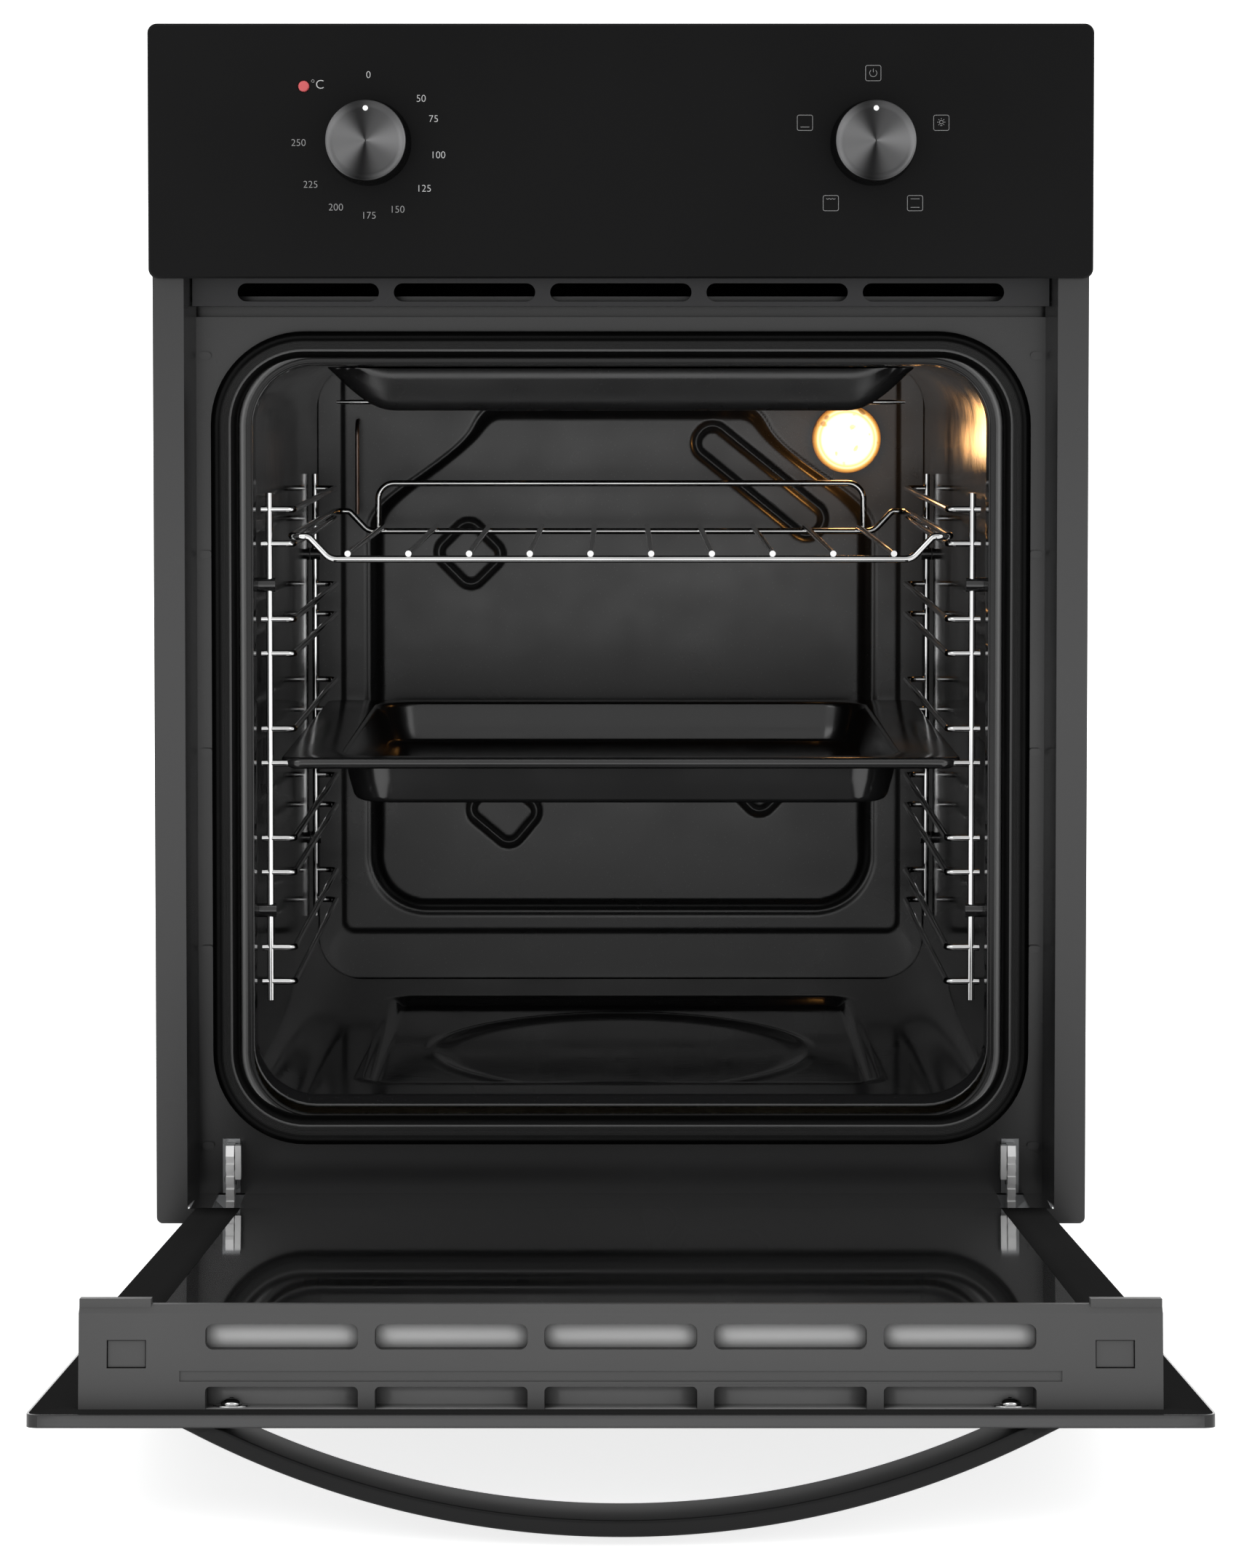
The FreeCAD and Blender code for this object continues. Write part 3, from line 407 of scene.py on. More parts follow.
def seal_rubber():
    """Black silicone with a greyer ribbed band, and a pale line on its bead that is a painted highlight."""
    # bead, the pale band on the bead, is a painted highlight
    black, ribs, bead = 0.0015, 0.022, 0.085
    stops = ((0.0, black), (0.375, black), (0.40, ribs), (0.655, ribs), (0.685, bead), (0.735, bead),
             (0.76, black), (1.0, black))
    return banded("seal_rubber", stops, 0.42, 0.08)


def mouth_enamel():
    """Enamel of the mouth's roll: a pale band along its top is a painted highlight, and black darker than the
    enamel in the groove inside it is painted shade.
    """
    # pale is a painted highlight on top of the roll; black, darker than the cavity's enamel, is painted shade in
    # the groove
    black, pale = 0.003, 0.11
    stops = ((0.0, black), (0.44, black), (0.52, pale), (0.92, pale), (1.0, black))
    return banded("mouth_enamel", stops, 0.2, 0.3)


def bright_wire(name="chromed_wire", dull=0.40, bright=0.62, roughness=0.05):
    """Bright plated metal with faint drawing marks and slightly duller patches."""
    material = new_material(name, Metallic=1.0)
    marks = noise_on(material, 320.0, 2.0, (1, 0.2, 1))
    cloud = noise_on(material, 14.0, 2.0)
    tint(material, cloud, "Fac", grey(dull), grey(bright))
    vary(material, cloud, "Fac", "Roughness", roughness, roughness + 0.07)
    bump(material, marks, "Fac", 0.08, 0.00004)
    return material


def plated_steel(name="plated_steel", light=(0.24, 0.245, 0.25), roughness=0.34):
    """Zinc-plated steel with a faint spangle."""
    material = new_material(name, Metallic=1.0)
    spangle = add_node(material, "ShaderNodeTexVoronoi")
    spangle.inputs["Scale"].default_value = 110.0
    wire(material, object_coordinates(material), "Vector", spangle, "Vector")
    tint(material, spangle, "Color", tuple(c * 0.82 for c in light), light, 0.2, 0.8)
    vary(material, spangle, "Color", "Roughness", roughness * 0.8, roughness * 1.2, 0.2, 0.8)
    scratches = noise_on(material, 60.0, 6.0, (1, 14, 14))
    bump(material, scratches, "Fac", 0.1, 0.0001)
    return material


def moulded_grey():
    """Grey moulded plastic with a spark-eroded grain."""
    material = new_material("moulded_grey", Metallic=0.0, IOR=1.48, Specular_IOR_Level=0.35)
    grain = noise_on(material, 1300.0, 3.0)
    cloud = noise_on(material, 9.0, 3.0)
    tint(material, cloud, "Fac", grey(0.036), grey(0.046))
    vary(material, cloud, "Fac", "Roughness", 0.42, 0.52)
    bump(material, grain, "Fac", 0.35, 0.00005)
    return material


def calculate(material, operation, source, output, *values):
    """Math node on a texture value, its other inputs set or linked."""
    node = add_node(material, "ShaderNodeMath", operation=operation)
    wire(material, source, output, node, 0)
    for place, value in enumerate(values, 1):
        if isinstance(value, bpy.types.Node):
            wire(material, value, "Value", node, place)
        else:
            node.inputs[place].default_value = value
    return node


def spun_metal():
    """Dark spun face, anisotropic.

    Its base colour is a painted reflection: bright and dark wedges, the sine of twice the angle round
    the face with a little of that of five times the angle. Fine rings lie in its relief.
    """
    material = new_material("spun_metal", Metallic=1.0, Roughness=0.3, Anisotropic=0.85)
    uv, parts = uv_parts(material)
    painted_wedge_highlights = calculate(material, "MULTIPLY_ADD", parts, "X", 4 * math.pi, math.pi / 2)
    painted_wedge_highlights = calculate(material, "SINE", painted_wedge_highlights, "Value")
    ripple = calculate(material, "MULTIPLY_ADD", parts, "X", 10 * math.pi, 1.2)
    ripple = calculate(material, "SINE", ripple, "Value")
    painted_reflection = calculate(material, "MULTIPLY_ADD", ripple, "Value", 0.30, painted_wedge_highlights)
    # painted reflection: the bright and dark wedges that a spun face shows in light are painted into its base
    # colour
    shade = map_range(material, painted_reflection, "Value", 0.0, 1.0, -1.3, 1.3)
    tint(material, shade, "Result", (0.008, 0.008, 0.0082), (0.15, 0.15, 0.152), 0.0, 1.0)
    rings = add_node(material, "ShaderNodeTexWave", wave_type="BANDS", bands_direction="Y")
    rings.inputs["Scale"].default_value = 60.0
    rings.inputs["Distortion"].default_value = 1.5
    wire(material, uv, "UV", rings, "Vector")
    bump(material, rings, "Fac", 0.12, 0.00003)
    tangent = add_node(material, "ShaderNodeTangent", direction_type="UV_MAP", uv_map="UVMap")
    wire(material, tangent, "Tangent", shader_of(material), "Tangent")
    return material


def glowing(name, colour, strength):
    """Surface that gives off light, mottled a little."""
    material = new_material(name, Roughness=0.3, Emission_Color=(*colour, 1))
    cloud = noise_on(material, 120.0, 2.0)
    vary(material, cloud, "Fac", "Emission Strength", strength * 0.75, strength * 1.2)
    return material


def clear_glass(name, colour, roughness=0.02, transmission=1.0):
    """Glass with a very slight waviness."""
    material = new_material(name, Base_Color=(*colour, 1), Metallic=0.0, IOR=1.5, Roughness=roughness,
                            Transmission_Weight=transmission)
    bump(material, noise_on(material, 8.0, 1.0), "Fac", 0.02, 0.0005)
    return material


def dark_mirror():
    """Inner door glass: nearly black and highly reflective, with faint smears in its gloss."""
    material = new_material("inner_door_glass", Metallic=0.0, IOR=2.1, Specular_IOR_Level=0.9)
    smears = noise_on(material, 7.0, 5.0, (1, 0.4, 1))
    tint(material, smears, "Fac", grey(0.006), grey(0.010))
    vary(material, smears, "Fac", "Roughness", 0.02, 0.05)
    bump(material, noise_on(material, 3.0, 1.0), "Fac", 0.02, 0.001)
    return material


def print_ink(name, level):
    """Screen-printed light grey."""
    return mottled(name, grey(level * 0.9), grey(level), None, 700.0, 2.0, Roughness=0.5)


def heat_tinted():
    """Element sheath darkened and browned by heat."""
    return mottled("element_sheath", (0.10, 0.085, 0.07), (0.34, 0.32, 0.30), (0.4, 0.6), 30.0, 5.0,
                   relief=(0.2, 0.0002), Metallic=0.85)


def mineral_wool():
    """Yellowish wool with long fibres."""
    return mottled("mineral_wool", (0.42, 0.36, 0.22), (0.80, 0.74, 0.56), None, 220.0, 8.0, (1, 4, 1),
                   relief=(0.8, 0.002), Roughness=0.95)


def white_ceramic():
    """Glazed off-white ceramic."""
    return mottled("white_ceramic", (0.70, 0.68, 0.62), (0.82, 0.80, 0.76), (0.2, 0.4), 50.0, IOR=1.5)


def drawn_copper():
    """Capillary tube of drawn copper, darkened."""
    return mottled("drawn_copper", (0.10, 0.085, 0.08), (0.32, 0.25, 0.22), (0.3, 0.45), 40.0, Metallic=1.0)


MAKERS = {
    "frame_steel": frame_finish,
    "black_enamel": lambda: satin_black("strip_enamel", (0.014, 0.014, 0.015), 0.3),
    "panel_glass": panel_finish,
    "galvanised": plated_steel,
    "cavity_enamel": cavity_enamel,
    "wool": mineral_wool,
    "gasket": seal_rubber,
    "element_steel": heat_tinted,
    "ceramic_white": white_ceramic,
    "lamp_glass": lambda: clear_glass("lamp_glass", (1.0, 0.9, 0.75), 0.05),
    "switch_plastic": lambda: satin_black("switch_moulding", grey(0.02), 0.45),
    "copper": drawn_copper,
    "red_lens": lambda: satin_black("red_lens", (0.42, 0.075, 0.08), 0.25, 300.0, 0.00001),
    "fan_metal": lambda: plated_steel("blower_aluminium", (0.68, 0.68, 0.69), 0.3),
    "hinge_steel": lambda: bright_wire("hinge_plating", 0.50, 0.70, 0.30),
    "chrome": bright_wire,
    "tray_enamel": tray_enamel,
    "knob_plastic": lambda: satin_black("knob_black", grey(0.0015), 0.25, 1500.0, 0.000008, 0.04),
    "knob_metal": spun_metal,
    "door_glass": lambda: satin_black("door_black_glass", (0.006, 0.006, 0.0061), 0.12, 60.0,
                                      0.00001, 0.3),
    "clear_glass": lambda: clear_glass("door_middle_glass", (0.75, 0.78, 0.77)),
    "inner_glass": dark_mirror,
    "door_steel": lambda: satin_black("door_channel_black", grey(0.012), 0.4),
    "trim_plastic": moulded_grey,
    "handle_metal": lambda: satin_black("handle_black", (0.005, 0.005, 0.0051), 0.34, 1200.0,
                                        0.00001, 0.12),
}
made_materials = {}         # slot: its material, once made


def material_for(slot):
    """The finish of one of the record's slots, made once."""
    if slot not in made_materials:
        made_materials[slot] = MAKERS[slot]()
    return made_materials[slot]


# ---- user settings ----

class OvenSettings(bpy.types.PropertyGroup):
    """Sizes and colours that a user may change."""
    press_depth: FloatProperty(
        name="Press depth", description="How far the back wall's field is pressed forward",
        default=0.004, min=0.0, max=0.005, unit="LENGTH")
    digit_height: FloatProperty(
        name="Digit height", description="Height of the temperature numbers",
        default=0.0034, min=0.002, max=0.006, unit="LENGTH")
    scale_radius: FloatProperty(
        name="Scale radius", description="Distance of the numbers from the knob's centre",
        default=0.0330, min=0.025, max=0.045, unit="LENGTH")
    lamp_colour: FloatVectorProperty(
        name="Lamp colour", description="Colour of the cavity lamp's light",
        default=(1.0, 0.44, 0.10), size=3, subtype="COLOR", min=0.0, max=1.0)
    lamp_power: FloatProperty(
        name="Lamp power", description="Strength of the cavity lamp",
        default=0.07, min=0.0, max=10.0, subtype="POWER")
    backdrop: FloatVectorProperty(
        name="Backdrop", description="Colour of the studio floor",
        default=(0.80, 0.80, 0.80), size=3, subtype="COLOR", min=0.0, max=1.0)


def settings():
    """The user's settings in the open scene."""
    return bpy.context.scene.oven_settings


# ---- pieces ----

class OVEN_OT_finishes(bpy.types.Operator):
    """Give every CAD node that stays the finish of its slot"""
    bl_idname = "oven.finishes"
    bl_label = "Finishes"

    def execute(self, context):
        slots = {part["node"]: part["material_slot"] for part in frame["record"]["subparts"]}
        for name, node in NODES.items():
            node.data.materials.clear()
            node.data.materials.append(material_for(slots[name]))
            for polygon in node.data.polygons:
                polygon.material_index = 0
        return {"FINISHED"}


def ring_distance(x, z, centre, half, radius, degrees):
    """Distance from the outline of a turned rounded rectangle."""
    angle = math.radians(degrees)
    dx, dz = x - centre[0], z - centre[1]
    u = dx * math.cos(angle) - dz * math.sin(angle)
    v = dx * math.sin(angle) + dz * math.cos(angle)
    return rounded_box_distance(u, v, half[0], half[1], radius)


RINGS = (
    ((-0.0865, 0.3290), (0.0150, 0.0140), 0.0070, 45),
    ((-0.0670, 0.1815), (0.0165, 0.0140), 0.0070, 40),
    ((0.0795, 0.3705), (0.0440, 0.0092), 0.0085, 39),
    ((0.0790, 0.1985), (0.0150, 0.0140), 0.0070, 45),
)


def back_wall_height(x, z, press):
    """Height of the back wall towards the front.

    A bottle-shaped field is raised by press: a wide body whose width falls to the neck's in an
    S-curve, with a narrow step at its foot and a wider one round its shoulders. Steep-sided
    channels follow rounded rings inside it, and the wall steps back outside a frame round it.
    """
    wide, neck = 0.1385, 0.0850
    low, high, corner = 0.1285, 0.4090, 0.0275
    blend = smoothstep(0.344, 0.402, z)
    half = wide * (1 - blend) + neck * blend
    field = rounded_box_distance(x * wide / half, z - (low + high) / 2, wide, (high - low) / 2, corner)
    edge = 0.0013 + 0.0017 * smoothstep(0.135, 0.175, z)
    height = press * (1 - smoothstep(-edge, edge, field))
    height -= 0.0014 * np.clip(1 - np.abs(field - 0.0055) / 0.0022, 0, 1)
    outer = rounded_box_distance(x, z - 0.2715, 0.159, 0.1600, 0.006)
    height -= 0.0022 * smoothstep(-0.001, 0.002, outer)
    for centre, sides, radius, degrees in RINGS:
        ring = np.abs(ring_distance(x, z, centre, sides, radius, degrees))
        height -= 0.0036 * np.clip(1.15 - ring / 0.0025, 0, 1)
    return height


class OVEN_OT_back_wall(bpy.types.Operator):
    """Make the cavity's pressed back wall"""
    bl_idname = "oven.back_wall"
    bl_label = "Back wall"

    def execute(self, context):
        low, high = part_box("cavity_back")
        face = high.y - 0.0012
        x = np.linspace(low.x + 0.0006, high.x - 0.0006, 290)
        z = np.linspace(low.z + 0.0006, high.z - 0.0006, 290)
        grid_x, grid_z = np.meshgrid(x, z, indexing="ij")
        height = back_wall_height(grid_x, grid_z, settings().press_depth)
        points = np.stack([grid_x, face - np.maximum(height, -0.0011), grid_z], -1)
        cx, cz, _ = middle_of("lamp_cover")
        faces = grid_faces(len(x), len(z))
        centre = points.reshape(-1, 3)[faces].mean(1)
        faces = faces[np.hypot(centre[:, 0] - cx, centre[:, 2] - cz) > 0.0168]
        piece = make_mesh("pressed_back_wall", points, faces)
        thicken(piece, 0.0008)
        finish_piece(piece, back_wall_enamel(), "oven", ["cavity_back"])
        return {"FINISHED"}


def liner_section(depth_ratio, steps):
    """Half width, floor, ceiling and corner radius of the cavity at a place along its depth.

    They run straight from the mouth to the step behind the lip, and straight on to the back.
    """
    mouth = np.array([0.1778, 0.0790, 0.4388, 0.030])
    step = np.array([0.1770, 0.0828, 0.4378, 0.029])
    back = np.array([0.1735, 0.084, 0.437, 0.024])
    t = np.clip(depth_ratio / steps, 0, 1)[:, None]
    s = np.clip((depth_ratio - steps) / (1 - steps), 0, 1)[:, None]
    return mouth * (1 - t) + step * t + (back - step) * s


def floor_press(x, y, front):
    """Drop of the floor: a rectangular field with an oval dish in it, both with soft edges."""
    depth = y - front
    field = rounded_box_distance(x, depth - 0.2305, 0.1255, 0.1385, 0.012)
    dish = np.hypot(x / 0.0955, (depth - 0.213) / 0.118) - 1
    drop = 0.0040 * (1 - smoothstep(-0.0045, 0.0005, field))
    drop -= 0.0007 * np.exp(-((field - 0.003) / 0.002) ** 2)
    drop += 0.0014 * (1 - smoothstep(-0.10, 0.02, dish))
    drop -= 0.0009 * np.exp(-((dish - 0.03) / 0.03) ** 2)
    return drop


class OVEN_OT_liner(bpy.types.Operator):
    """Make the cavity's enamelled liner with its pressed floor"""
    bl_idname = "oven.liner"
    bl_label = "Liner"

    def execute(self, context):
        low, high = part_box("cavity_shell")
        front = low.y
        length = high.y - low.y
        ratio = np.concatenate([np.linspace(0, 0.02, 6)[:-1], np.linspace(0.02, 1, 135)])
        section = liner_section(ratio, 0.02)
        half, floor, ceiling, radius = (section[:, k:k + 1] for k in range(4))
        turn = np.linspace(0, math.pi / 2, 11)
        across = np.linspace(-1, 1, 181)[1:-1]
        few = np.linspace(-1, 1, 26)[1:-1]
        corner = {}
        for name, sx, sz, start in (("fr", 1, -1, -math.pi / 2), ("cr", 1, 1, 0),
                                    ("cl", -1, 1, math.pi / 2), ("fl", -1, -1, math.pi)):
            a = start + turn
            cx = sx * (half - radius)
            cz = (ceiling - radius) if sz > 0 else (floor + radius)
            corner[name] = (cx + radius * np.cos(a), cz + radius * np.sin(a))
        flat = np.ones_like(ratio)[:, None]
        xs = [across * (half - radius), corner["fr"][0], flat * half * np.ones_like(few), corner["cr"][0],
              -few * (half - radius), corner["cl"][0], -half * np.ones_like(few), corner["fl"][0]]
        middle, rise = (floor + ceiling) / 2, (ceiling - floor) / 2 - radius
        zs = [floor * np.ones_like(across), corner["fr"][1], middle + few * rise, corner["cr"][1],
              ceiling * np.ones_like(few), corner["cl"][1], middle - few * rise, corner["fl"][1]]
        x, z = np.concatenate(xs, 1), np.concatenate(zs, 1)
        y = (front + ratio * length)[:, None] * np.ones_like(x)
        on_floor = np.arange(x.shape[1]) < len(across)
        drop = floor_press(x, y, FRONT)
        z = z - np.where(on_floor[None, :], drop, 0)
        points = np.stack([x, y, z], -1)
        faces = grid_faces(x.shape[0], x.shape[1], False, True)[:, ::-1]
        piece = make_mesh("enamelled_liner", points, faces)
        thicken(piece, 0.0010)
        finish_piece(piece, material_for("cavity_enamel"), "oven", ["cavity_shell"])
        return {"FINISHED"}


def seal_profile():
    """Section of the seal in mm, from its outer foot to its inner foot.

    A round outer bulb, a band of fine ribs made by a cosine, a thin bead and a sloping inner bulb.
    """
    bulb = np.radians(np.linspace(180, 20, 9))
    outer = np.stack([np.linspace(-0.1, -4.75, len(bulb)), 9.2 + 2.9 * np.sin(bulb)], -1)
    ribs = np.linspace(-5.0, -8.6, 25)
    band = np.stack([ribs, 10.0 + 0.28 * np.cos((ribs + 5.0) * 2 * math.pi / 0.72)], -1)
    bead = np.array([(-8.9, 9.9), (-9.1, 10.6), (-9.5, 10.6), (-9.7, 9.7)])
    inner = np.array([(-10.2, 9.2), (-11.3, 8.2), (-12.3, 6.2), (-12.8, 3.4), (-12.9, 0.0)])
    foot = np.array([(-0.1, 0.0), (-0.1, 5.0)])
    return np.concatenate([foot, outer, band, bead, inner])


class OVEN_OT_seal(bpy.types.Operator):
    """Make the door seal with its bulbs and ribbed band"""
    bl_idname = "oven.seal"
    bl_label = "Door seal"

    def execute(self, context):
        low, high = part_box("door_gasket")
        half_x, half_z = (high.x - low.x) / 2, (high.z - low.z) / 2
        middle, back = (high.z + low.z) / 2, high.y
        loop, normals = rounded_loop(half_x, half_z, 0.045, 16, 10)
        profile = seal_profile() * MM

        def to_space(x, z, up):
            return np.stack([x, back - up, z + middle], -1)

        piece = sweep_loop("ribbed_door_seal", loop, normals, profile, to_space, -profile[:, 0] / 0.013)
        face_outwards(piece)
        finish_piece(piece, material_for("gasket"), "oven", ["door_gasket"])
        return {"FINISHED"}


class OVEN_OT_mouth_lip(bpy.types.Operator):
    """Make the enamelled roll round the oven's mouth and the groove inside it"""
    bl_idname = "oven.mouth_lip"
    bl_label = "Mouth lip"

    def execute(self, context):
        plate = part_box("cavity_shell")[0].y - 0.0012
        low_z, high_z = 0.075, 0.439
        loop, normals = rounded_loop(0.178, (high_z - low_z) / 2, 0.030, 14, 10)
        roll = np.array([(6.2, 0.0), (6.0, 1.6), (5.2, 2.6), (4.4, 2.8), (3.6, 2.2), (3.2, 1.0),
                         (2.8, 0.5), (1.2, 0.45), (0.35, 0.6), (0.1, 0.0)]) * MM
        middle = (low_z + high_z) / 2

        def to_space(x, z, up):
            return np.stack([x, plate - up, z + middle], -1)

        piece = sweep_loop("mouth_roll", loop, normals, roll, to_space, roll[:, 0] / 0.0062)
        face_outwards(piece)
        finish_piece(piece, mouth_enamel(), "oven")
        return {"FINISHED"}


class OVEN_OT_shield(bpy.types.Operator):
    """Make the pressed shield under the ceiling and the wire that carries it"""
    bl_idname = "oven.shield"
    bl_label = "Heater shield"

    def execute(self, context):
        low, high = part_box("heater_shield")
        half, mid_y = (high.x - low.x) / 2, (high.y + low.y) / 2
        deep, drop = (high.y - low.y) / 2, high.z - low.z
        side_run, end_run = 0.033, 0.014
        x = np.linspace(-half, half, 117)
        y = np.linspace(-deep, deep, 105)
        gx, gy = np.meshgrid(x, y, indexing="ij")
        across = np.maximum(1 - (half - np.abs(gx)) / side_run, 0)
        along = np.maximum(1 - (deep - np.abs(gy)) / end_run, 0)
        rise = np.clip(1 - np.hypot(across, along), 0, 1)
        gz = high.z - drop * np.sin(rise * math.pi / 2)
        faces = grid_faces(len(x), len(y))[:, ::-1]
        faces = faces[rise.ravel()[faces].max(1) > 0]
        piece = make_mesh("pressed_shield", np.stack([gx, gy + mid_y, gz], -1), faces)
        thicken(piece, 0.0008)
        finish_piece(piece, shield_enamel(), "oven", ["heater_shield"])

        reach, radius = 0.157, 0.0013
        span = np.linspace(-reach, reach, 41)
        turn = np.linspace(0, 2 * math.pi, 13)[:-1]
        size = radius * np.sqrt(np.clip((reach + 0.0004 - np.abs(span)) / 0.0012, 0.02, 1))
        sx, st = np.meshgrid(span, turn, indexing="ij")
        ring = size[:, None]
        back, under = high.y + 0.003, low.z + 0.0012
        points = np.stack([sx, back + ring * np.cos(st), under + ring * np.sin(st)], -1)
        wire_piece = make_mesh("shield_wire", points, grid_faces(len(span), len(turn), False, True))
        face_outwards(wire_piece)
        finish_piece(wire_piece, material_for("chrome"), "oven")
        return {"FINISHED"}


def rounded_ring(half_x, half_y, radius, mid_y, z):
    """Level rounded rectangle as points."""
    ring, _ = rounded_loop(half_x, half_y, radius, 12, 10)
    return np.column_stack([ring[:, 0], ring[:, 1] + mid_y, np.full(len(ring), z)])


class OVEN_OT_tray(bpy.types.Operator):
    """Make the baking tray with its rolled edge, flat side rims and pressed pan"""
    bl_idname = "oven.tray"
    bl_label = "Baking tray"

    def execute(self, context):
        low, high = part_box("baking_tray")
        half_x, half_y = (high.x - low.x) / 2, (high.y - low.y) / 2
        mid_y, top = (high.y + low.y) / 2, high.z
        pan_x, pan_y = 0.137, half_y - 0.013
        loop, outwards = rounded_loop(half_x, half_y, 0.010, 12, 10)
        roll = 0.0013 + 0.0015 * smoothstep(0.3, 0.9, -outwards[:, 1])
        rings = []
        for degrees in np.linspace(-150, 90, 13):
            a = math.radians(degrees)
            edge = loop + outwards * (roll * (math.cos(a) - 1))[:, None]
            rise = top + roll * (math.sin(a) - 1)
            rings.append(np.column_stack([edge[:, 0], edge[:, 1] + mid_y, rise]))
        wall = ((3.6, 3.6, 6.6, -0.15), (29 - 1.6, 13 - 1.6, 24, -0.15))
        for in_x, in_y, radius, z in wall:
            sides = half_x - in_x * MM, half_y - in_y * MM
            rings.append(rounded_ring(*sides, radius * MM, mid_y, top + z * MM))
        pan = ((0.0, 24, -0.5), (0.7, 24, -1.6), (1.2, 23.6, -3.2), (3.2, 22, -12.0), (5.6, 20, -20.4),
               (6.8, 19, -22.0), (9.0, 17, -22.8), (14, 16, -23.0))
        for inward, radius, z in pan:
            slope = inward * MM
            sides = pan_x - slope, pan_y - 0.6 * slope
            rings.append(rounded_ring(*sides, radius * MM, mid_y, top + z * MM))
        floor = rings[-1]
        hub = np.array([0.0, mid_y, floor[0, 2]])
        rings += [hub + (floor - hub) * k for k in np.linspace(0.8, 0.004, 6)]
        count = len(floor)
        faces = grid_faces(len(rings), count, False, True)
        piece = make_mesh("enamelled_tray", np.concatenate(rings), faces)
        close_hub(piece, 0.02, 0.003)
        thicken(piece, 0.0010)
        finish_piece(piece, material_for("tray_enamel"), "tray", ["baking_tray"])
        return {"FINISHED"}


def turned_grid(angle, radii, depths, centre):
    """Points of a section turned about an axis that runs back from centre, with angles and radii."""
    turn, reach = np.meshgrid(angle, radii, indexing="ij")
    x, y = centre[0] + reach * np.cos(turn), centre[1] + depths[None, :] + 0 * reach
    return np.stack([x, y, centre[2] + reach * np.sin(turn)], -1), turn, reach


class OVEN_OT_knob_faces(bpy.types.Operator):
    """Make the spun faces of both knobs, their bright rims and white pointers"""
    bl_idname = "oven.knob_faces"
    bl_label = "Knob faces"

    def execute(self, context):
        dot_material = print_ink("pointer_white", 0.9)
        for name, body in (("thermostat", "thermostat_dial"), ("selector", "selector_dial")):
            cx, cz, radius = middle_of(name + "_cap")
            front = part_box(name + "_cap")[0].y
            radii = np.array([0.25, 3, 6, 9, 12, 15, 17.4, 17.75, 18.25, 18.55, 18.7, 18.75, 18.75]) * MM
            depths = np.array([0.42, 0.42, 0.41, 0.40, 0.39, 0.38, 0.36, 0.1, 0.0, 0.06, 0.25, 0.7, 2.0]) * MM
            radii = radii * radius / radii[-1]
            angle = np.linspace(0, 2 * math.pi, 97)
            points, turn, reach = turned_grid(angle, radii, depths, (cx, front, cz))
            uv = np.stack([turn / (2 * math.pi), reach / radius], -1)
            piece = make_mesh(name + "_spun_face", points, grid_faces(len(angle), len(radii)), uv)
            face_front(piece)
            finish_piece(piece, material_for("knob_metal"), body, [name + "_cap"])
            angle = np.linspace(0, 2 * math.pi, 33)[:-1]
            radii = np.array([0.01, 0.8, 1.15, 1.25]) * MM
            depths = np.array([0.20, 0.20, 0.26, 0.42]) * MM
            dot, _, _ = turned_grid(angle, radii, depths, (cx, front, cz + 0.0150))
            pointer = make_mesh(name + "_pointer", dot, grid_faces(len(angle), len(radii), True, False))
            face_front(pointer)
            finish_piece(pointer, dot_material, body)
        return {"FINISHED"}


def flat_print(name, strokes_or_text, size, x, z, material, body="oven"):
    """Letters or strokes made a thin mesh on the panel's face."""
    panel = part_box("control_panel")[0].y
    if isinstance(strokes_or_text, str):
        curve = bpy.data.curves.new(name, "FONT")
        curve.body = strokes_or_text
        curve.size = size
        curve.offset = -0.018 * size
        curve.align_x = "CENTER"
        curve.align_y = "CENTER"
    else:
        curve = bpy.data.curves.new(name, "CURVE")
        curve.dimensions = "3D"
        curve.bevel_depth = size
        curve.bevel_resolution = 1
        for closed, stroke in strokes_or_text:
            spline = curve.splines.new("POLY")
            spline.points.add(len(stroke) - 1)
            for point, (px, pz) in zip(spline.points, stroke):
                point.co = (px, pz, 0, 1)
            spline.use_cyclic_u = closed
    source = bpy.data.objects.new(name + "_source", curve)
    bpy.context.scene.collection.objects.link(source)
    depsgraph = bpy.context.evaluated_depsgraph_get()
    mesh = bpy.data.meshes.new_from_object(source.evaluated_get(depsgraph))
    mesh.name = name
    bpy.data.objects.remove(source)
    co = read_points(mesh)
    depth = np.clip(co[:, 2], -0.00005, 0.00005) * 0.6
    co = np.stack([x + co[:, 0], panel - 0.00004 - depth, z + co[:, 1]], -1)
    mesh.vertices.foreach_set("co", co.ravel())
    mesh.update()
    piece = bpy.data.objects.new(name, mesh)
    bpy.context.scene.collection.objects.link(piece)
    if len(mesh.polygons) and isinstance(strokes_or_text, str) and mesh.polygons[0].normal.y > 0:
        mesh.flip_normals()
    finish_piece(piece, material, body)


def rounded_square(half, radius, steps=5):
    """Points round a rounded square."""
    loop, _ = rounded_loop(half, half, radius, steps, 1)
    return [tuple(p) for p in loop]


def arc_points(radius, start, end, cx=0.0, cz=0.0, steps=16):
    """Points along an arc from start to end in degrees."""
    a = np.radians(np.linspace(start, end, steps))
    return [(cx + radius * math.cos(t), cz + radius * math.sin(t)) for t in a]


